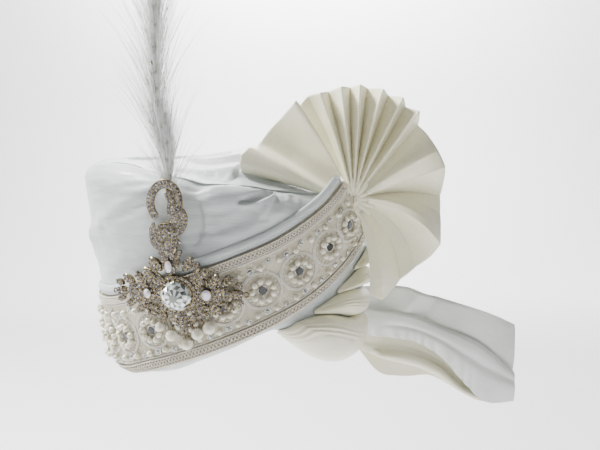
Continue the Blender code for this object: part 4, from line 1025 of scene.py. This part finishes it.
# Lines of the fan from the hub: direction at the rim and near the hub, reach share, depth at both
FAN_LINES = [(124, 118, 0.93, -7.0, -2.0), (119.5, 115, 0.95, -6.5, -2.0), (114, 110, 0.99, -4.5, -2.0),
             (108, 106, 0.975, 3.0, 1.6), (103.5, 102, 0.965, -6.5, -2.2), (97, 97, 0.985, 5.5, 2.2),
             (92, 92.5, 0.975, -6.5, -2.4), (87.5, 88, 0.995, 5.5, 2.4), (83, 83, 0.975, -7.5, -2.6),
             (76, 78, 0.985, 6.5, 2.6), (71.5, 73, 0.955, -7.5, -2.6), (65, 67, 0.975, 6.5, 2.4),
             (60.5, 61, 0.925, -7.0, -2.4), (54.5, 55, 0.945, 7.5, 2.4), (49, 48, 0.865, -7.0, -2.0),
             (42, 40, 0.86, -2.0, 0.5), (30, 31, 0.835, 6.5, 4.5), (21, 24, 0.825, 9.0, 6.0),
             (12, 18, 0.80, 3.0, -1.5), (1, 12, 0.785, -6.5, -4.0), (-10, 6, 0.79, -4.0, 2.0),
             (-20, 1, 0.81, 4.0, 8.0), (-27, -4, 0.835, 9.5, 9.0), (-36, -12, 0.845, 4.5, 1.0),
             (-47, -24, 0.845, -4.0, -5.0), (-60, -40, 0.865, -6.0, -4.0), (-69, -52, 0.895, 3.0, 2.0),
             (-74, -60, 0.905, 8.0, 6.0), (-80, -70, 0.86, 2.0, 1.0)]


def make_fan():
    """Sheet through lines that leave the hub, its pleats between crisp and round."""
    table, columns, throat = np.array(FAN_LINES), 560, 11.0
    u = np.linspace(0, len(table) - 1, columns)
    below = np.clip(np.floor(u).astype(int), 0, len(table) - 2)
    share = u - below
    eased = share * 0.45 + step(share) * 0.55
    outer, inner, reach, deep, near = (table[below, k] + (table[below + 1, k] - table[below, k]) * eased
                                       for k in range(5))
    reach = reach * 0.6 + table_value(np.column_stack([np.arange(len(table)), table[:, 2]]), u) * 0.4
    out = np.linspace(0, 1, 46)[:, None]
    direction = inner + (outer - inner) * out ** 1.25
    distance = throat + (FAN_RADIUS * reach - throat) * out
    middle = near * 4 * out * (1 - out) * 0.55
    strength = 1.35 + 0.45 * step((48 - outer) / 20)
    forward = strength * deep * out ** 0.85 * (1 - 0.18 * out ** 6) + middle + near * 0.35 * (1 - out)
    forward = forward + 0.45 * np.sin(u * 1.7 + out * 5) * out
    made, length, width, area = cloth_sheet("fan_cloth", fan_points(direction, distance, forward),
                                            IVORY_SATIN, "fan", 1.1, -1)


def make_fan_roots():
    """Gathered roots of the pleats behind the band's end."""
    hub = Pile()
    for index in range(9):
        points = fan_points(np.full(5, 118.0 - index * 23), np.linspace(3, 17, 5), np.linspace(-1.5, 1.0, 5))
        hub.wire(points, np.array([2.2, 2.6, 2.4, 1.8, 1.0]), 8)
    hub.piece("fan_roots", IVORY_SATIN, "ivory_satin")


# Loop at the fan's left: direction at rim and hub, depth at rim and hub, round its section
LOOP_LINES = [(121.5, 119, 2.0, 1.0), (120.5, 118, 8.0, 3.0), (121, 118.5, 13.0, 5.0),
              (123, 120.5, 12.5, 3.5), (127, 124, 3.0, -1.0), (133, 129, -8.0, -6.0),
              (140, 135, -12.5, -9.5), (146.5, 142, -12.0, -10.0), (150.5, 147, -8.5, -8.0),
              (152, 149, 2.0, -1.0), (153.5, 150.5, 10.5, 6.5), (158, 153, 14.0, 10.0),
              (162.5, 157, 14.0, 10.0), (165.5, 160.5, 10.0, 7.0), (166.5, 162, 4.5, 3.0),
              (165, 160, 0.5, 0.5)]
LOOP_REACH = ([0, 2, 5, 8, 9, 11, 13, 15], [0.97, 0.995, 0.955, 0.97, 0.99, 1.06, 1.0, 0.9])


def make_loop():
    table, throat = np.array(LOOP_LINES), 20.0
    u = np.linspace(0, len(table) - 1, 190)
    outer, inner, deep, near = (table_value(np.column_stack([np.arange(len(table)), table[:, k]]), u)
                                for k in range(4))
    out = np.linspace(0, 1, 42)[:, None]
    distance = throat + (np.interp(u, *LOOP_REACH) * FAN_RADIUS - throat) * out
    direction = inner + (outer - inner) * out + 7.0 * (1 - out) ** 2 * np.clip((u - 6) / 4, 0, 1)
    forward = (near + (deep - near) * out) * np.minimum(1, 0.35 + out * 1.1) + 3.0
    made, length, width, area = cloth_sheet("fan_loop_cloth", fan_points(direction, distance, forward),
                                            IVORY_SATIN, "fan_loop", 1.1, -1)


# Tucked rolls: angle, low and high edge and bulge along each
TUCKS = [[(55, 36, 39, 3), (61, 27, 41, 9), (68, 18, 43, 13), (76, 12, 42, 15), (84, 7.5, 37, 15.5),
          (92, 6, 32, 15), (99, 8, 31, 14), (106, 12, 30, 10), (112, 19, 26, 3)],
         [(69, 45, 48, 3), (75, 43, 52, 8), (82, 40, 56, 11.5), (90, 34.5, 56, 12.5), (98, 33, 53, 12),
          (105, 33, 51, 9), (112, 36, 46, 3)],
         [(81, 57, 59.5, 3), (87, 57.5, 65, 8), (94, 57.5, 70, 10.5), (102, 55.5, 71, 10), (108, 54.5, 68, 7),
          (113, 55, 64, 3)],
         [(92, 71.5, 74, 2.5), (98, 72.5, 80, 7), (104, 73.5, 86, 9), (110, 72, 85, 7), (115, 72, 79, 3)]]
TUCK_SECTION = [(-1, 0.05), (-0.97, 0.32), (-0.86, 0.62), (-0.66, 0.84), (-0.4, 0.97), (-0.1, 1.0),
                (0.2, 0.99), (0.48, 0.91), (0.72, 0.74), (0.9, 0.48), (0.98, 0.22), (1, 0.05)]


def make_tucks():
    section, columns = smooth_path(TUCK_SECTION, 46), 90
    around = np.linspace(0, 1, columns)
    for number, rows in enumerate(TUCKS, 1):
        stations = smooth_path(rows, columns)
        rim = rim_height(stations[:, 0])
        low = np.maximum(stations[:, 1], rim + GAP)
        middle, half = (low + stations[:, 2]) / 2, (stations[:, 2] - low) / 2
        round_end = np.sqrt(np.clip(1 - np.clip((around - 0.86) / 0.14, 0, 1) ** 2, 0.02, 1))
        swell = 0.55 + 0.45 * np.sqrt(np.sin(np.pi * np.clip(around, 0.02, 0.98)))
        bulge = stations[:, 3] * swell * round_end
        grid = []
        for side, out in section:
            grown = out * bulge
            # creases that run along the roll and fan in from its upper left
            for start, bend, deep in ((0.62, 1.15, 0.9), (0.34, 0.95, 0.9), (0.08, 0.8, 0.6)):
                line = start - bend * (around - 0.15) ** 2 * (1.6 if number == 1 else 1.1)
                fade = step((0.78 - around) / 0.25) * step(around / 0.12)
                grown = grown - deep * fade * np.exp(-((side - line) / 0.05) ** 2) + (
                    0.8 * deep * fade * np.exp(-((side - line + 0.14) / 0.10) ** 2))
            height = middle + side * half
            rolled = rim + ROLL * np.clip((height - rim) / EDGE_ROUND, 0, 1)
            rise = np.where(height < rim + EDGE_ROUND, rolled, wall_rise(height))
            grid.append(wall(stations[:, 0], rise, 1.0 + np.clip(grown, 0, None)))
        verts = np.stack(grid)
        last = (len(section) - 1) * columns
        end = last + columns
        back = [tuple(reversed(range(0, end, columns))), tuple(range(columns - 1, end, columns)),
                tuple(range(columns)) + tuple(reversed(range(last, end)))]
        faces = grid_faces(len(section), columns)[:, ::-1].tolist() + back
        made = piece(f"tuck_cloth_{number}", verts, faces, IVORY_SATIN, (f"tuck_{number}",),
                     uv=flat_map(reach_along(verts[20]), verts), sharp=70)


# Tail: share of its length, top edge, fold edge, low edge of the main sheet, hem of the inner sheet
TAIL = [(0.0, 46.0, 29.0, 5.0, -10.0), (0.12, 46.0, 26.0, 3.0, -30.0), (0.27, 45.0, 22.5, 0.6, -39.0),
        (0.42, 37.5, 16.0, -5.5, -37.0), (0.55, 32.5, 9.0, -18.0, -42.0), (0.70, 26.5, 1.0, -42.0, -54.0),
        (0.82, 21.0, -9.0, -57.0, -58.0), (1.0, 11.0, -31.0, -57.0, -58.0)]
# Rolled hem: share of the length, upper and lower line
HEM = [(0.0, -8.0, -12.0), (0.13, -13.0, -18.5), (0.27, -14.5, -24.5), (0.42, -20.0, -31.0),
       (0.55, -30.0, -40.0), (0.70, -48.0, -55.0), (1.0, -60.0, -64.0)]


def tail_points(share, height, layer, forward):
    rise = wall_rise(np.maximum(height, EDGE_ROUND))
    root = wall(TAIL_ANGLE - layer / (ARC_DEGREE + 0.1), rise, GAP)
    spot = root + SIDE * (TAIL_LENGTH * share)[..., None] + FRONT * np.asarray(forward)[..., None]
    spot[..., 2] = height
    return spot


def dent(value, width):
    return np.exp(-(value / width) ** 2)


def make_tail():
    columns, rows = 150, 60
    share = np.linspace(0, 1, columns)[None]
    down = np.linspace(0, 1, rows)[:, None]
    for name, top, low, level in (("tail_fold", 1, 2, 1), ("tail_main", 2, 3, 2), ("tail_inner", 2, 4, 0)):
        high = table_value(TAIL, share, top)
        lower = table_value(TAIL, share, low) - (5.0 if name == "tail_fold" else 0.0)
        height = high + (lower - high) * down
        wave = 3.0 * np.sin(math.tau * (share * 1.3 + 0.15)) * share + 2.0 * np.sin(np.pi * down) * share
        near = step(share / 0.08)
        if name == "tail_fold":
            wave = wave - near * 2.2 * step((down - 0.72) / 0.28) - near * 2.0 * dent(down, 0.06)
            wave += near * 2.6 * dent(share - 0.36 + 0.10 * down, 0.045)
            wave -= near * 2.4 * dent(share - 0.47 + 0.10 * down, 0.040)
            wave -= near * 1.6 * dent(share - 0.14 + 0.06 * down, 0.05)
            wave += near * 0.7 * np.sin(share * 19 + down * 4) * down
        elif name == "tail_main":
            shirr = np.sin(share * 92 + 2.5 * np.sin(share * 17)) * dent(1 - down, 0.30)
            wave = wave + near * 1.0 * shirr * step(share / 0.15) * step((0.85 - share) / 0.2)
            wave += near * 3.0 * np.sin(np.pi * np.clip(down * 0.75 + 0.08, 0, 1)) ** 0.6
            wave -= near * 1.8 * dent(down - 0.55 + 0.25 * share, 0.10) * step((share - 0.12) / 0.2)
            wave -= near * 2.5 * dent(down, 0.05)
            height = height + 1.2 * dent(share - 0.36, 0.02) * step((down - 0.9) / 0.1)
        else:
            hem_top, hem_low = table_value(HEM, share, 1), table_value(HEM, share, 2)
            across = np.clip((hem_top - height) / (hem_top - hem_low), 0, 1)
            rolled = np.sqrt(np.clip(np.sin(np.pi * across), 0, 1)) * step((share - 0.10) / 0.06)
            wave = wave + near * (7.5 * rolled - 2.0 * step((height - hem_top) / 5.0))
            wave += near * 1.6 * np.sin(share * 26 + down * 3) * (across >= 1)
            height = height + 0.8 * np.sin(share * 30) * step((down - 0.9) / 0.1)
        verts = tail_points(share + 0 * down, height, TAIL_LAYER * (level - 1), wave)
        made, drop, length, area = cloth_sheet(f"{name}_cloth", verts, TAIL_SATIN if level else IVORY_SATIN,
                                               name, 1.3, rows // 2)


def make_camera():
    """View from 30 degrees on the wearer's left and a little above."""
    lean = math.radians(8)
    picture_width, focal_length = 600.0, 735.0      # pixels
    sensor = 36.0
    aim_right, aim_up, distance = 54, 101, 640      # middle of the view and the way back from it
    back = Vector(FRONT) * math.cos(lean) + Vector((0, 0, math.sin(lean)))
    right = Vector(SIDE)
    data = bpy.data.cameras.new("Camera")
    data.sensor_width = sensor
    data.lens = focal_length / picture_width * sensor
    data.clip_start = 0.02
    camera = bpy.data.objects.new("Camera", data)
    made = Matrix((right, back.cross(right), back)).transposed().to_4x4()
    made.translation = (right * aim_right + Vector((0, 0, aim_up)) + back * distance) * MM
    camera.matrix_world = made
    bpy.context.scene.collection.objects.link(camera)
    bpy.context.scene.camera = camera


def make_light():
    world = bpy.data.worlds.new("Studio")
    world.use_nodes = True
    sky = world.node_tree.nodes["Background"]
    sky.inputs["Color"].default_value = (0.97, 0.985, 1.0, 1)
    sky.inputs["Strength"].default_value = 0.22
    bpy.context.scene.world = world
    part, backdrop = (0.02, 0.0, 0.09), (-1.5, 3.2, 0.9)
    for name, spot, aim, size, power, colour in (
            ("Overhead", (-0.55, -0.28, 1.00), part, 0.30, 46.0, (1.0, 0.995, 0.98)),
            ("Front left", (-1.05, -0.80, 0.50), part, 0.35, 11.0, (1.0, 1.0, 1.0)),
            ("Right", (1.15, -0.45, 0.70), part, 0.35, 3.0, (1.0, 0.985, 0.95)),
            ("Backdrop", (-0.70, 1.30, 1.50), backdrop, 0.90, 150.0, (1.0, 1.0, 1.0))):
        data = bpy.data.lights.new(name, "AREA")
        data.size, data.energy, data.color = size, power, colour
        lamp = bpy.data.objects.new(name, data)
        lamp.location = spot
        lamp.rotation_euler = (Vector(aim) - Vector(spot)).to_track_quat("-Z", "Y").to_euler()
        bpy.context.scene.collection.objects.link(lamp)


def make_floor():
    """Pale floor that curves up behind."""
    bend = [(1400 + 600 * math.sin(turn), 600 * (1 - math.cos(turn)))
            for turn in np.linspace(0, math.pi / 2, 14)]
    rows = [[-FRONT * reach + UP * (height - 300.0) + SIDE * across for across in (-3500, 3500)]
            for reach, height in [(-1600, 0)] + bend + [(2000, 2600)]]
    mesh = bpy.data.meshes.new("Floor")
    mesh.from_pydata((np.array(rows).reshape(-1, 3) * MM).tolist(), [], grid_faces(len(rows), 2).tolist())
    mesh.shade_smooth()
    floor = Nodes("pale floor", (0.90, 0.905, 0.91), 0.8, Emission_Color=(1.0, 1.0, 1.0, 1),
                  Emission_Strength=0.62)
    floor.tint(floor.ramp(floor.noise(4, 2.0), [(0.3, (0.885, 0.89, 0.895)), (0.7, (0.91, 0.915, 0.92))]))
    mesh.materials.append(floor.material)
    thing = bpy.data.objects.new("Floor", mesh)
    bpy.context.scene.collection.objects.link(thing)


for make in (make_camera, make_light, make_floor, make_crown, make_band, make_laces, make_embroidery,
             make_brooch, make_centre_stone, make_plume, make_fan, make_loop, make_fan_roots, make_tucks,
             make_tail):
    make()
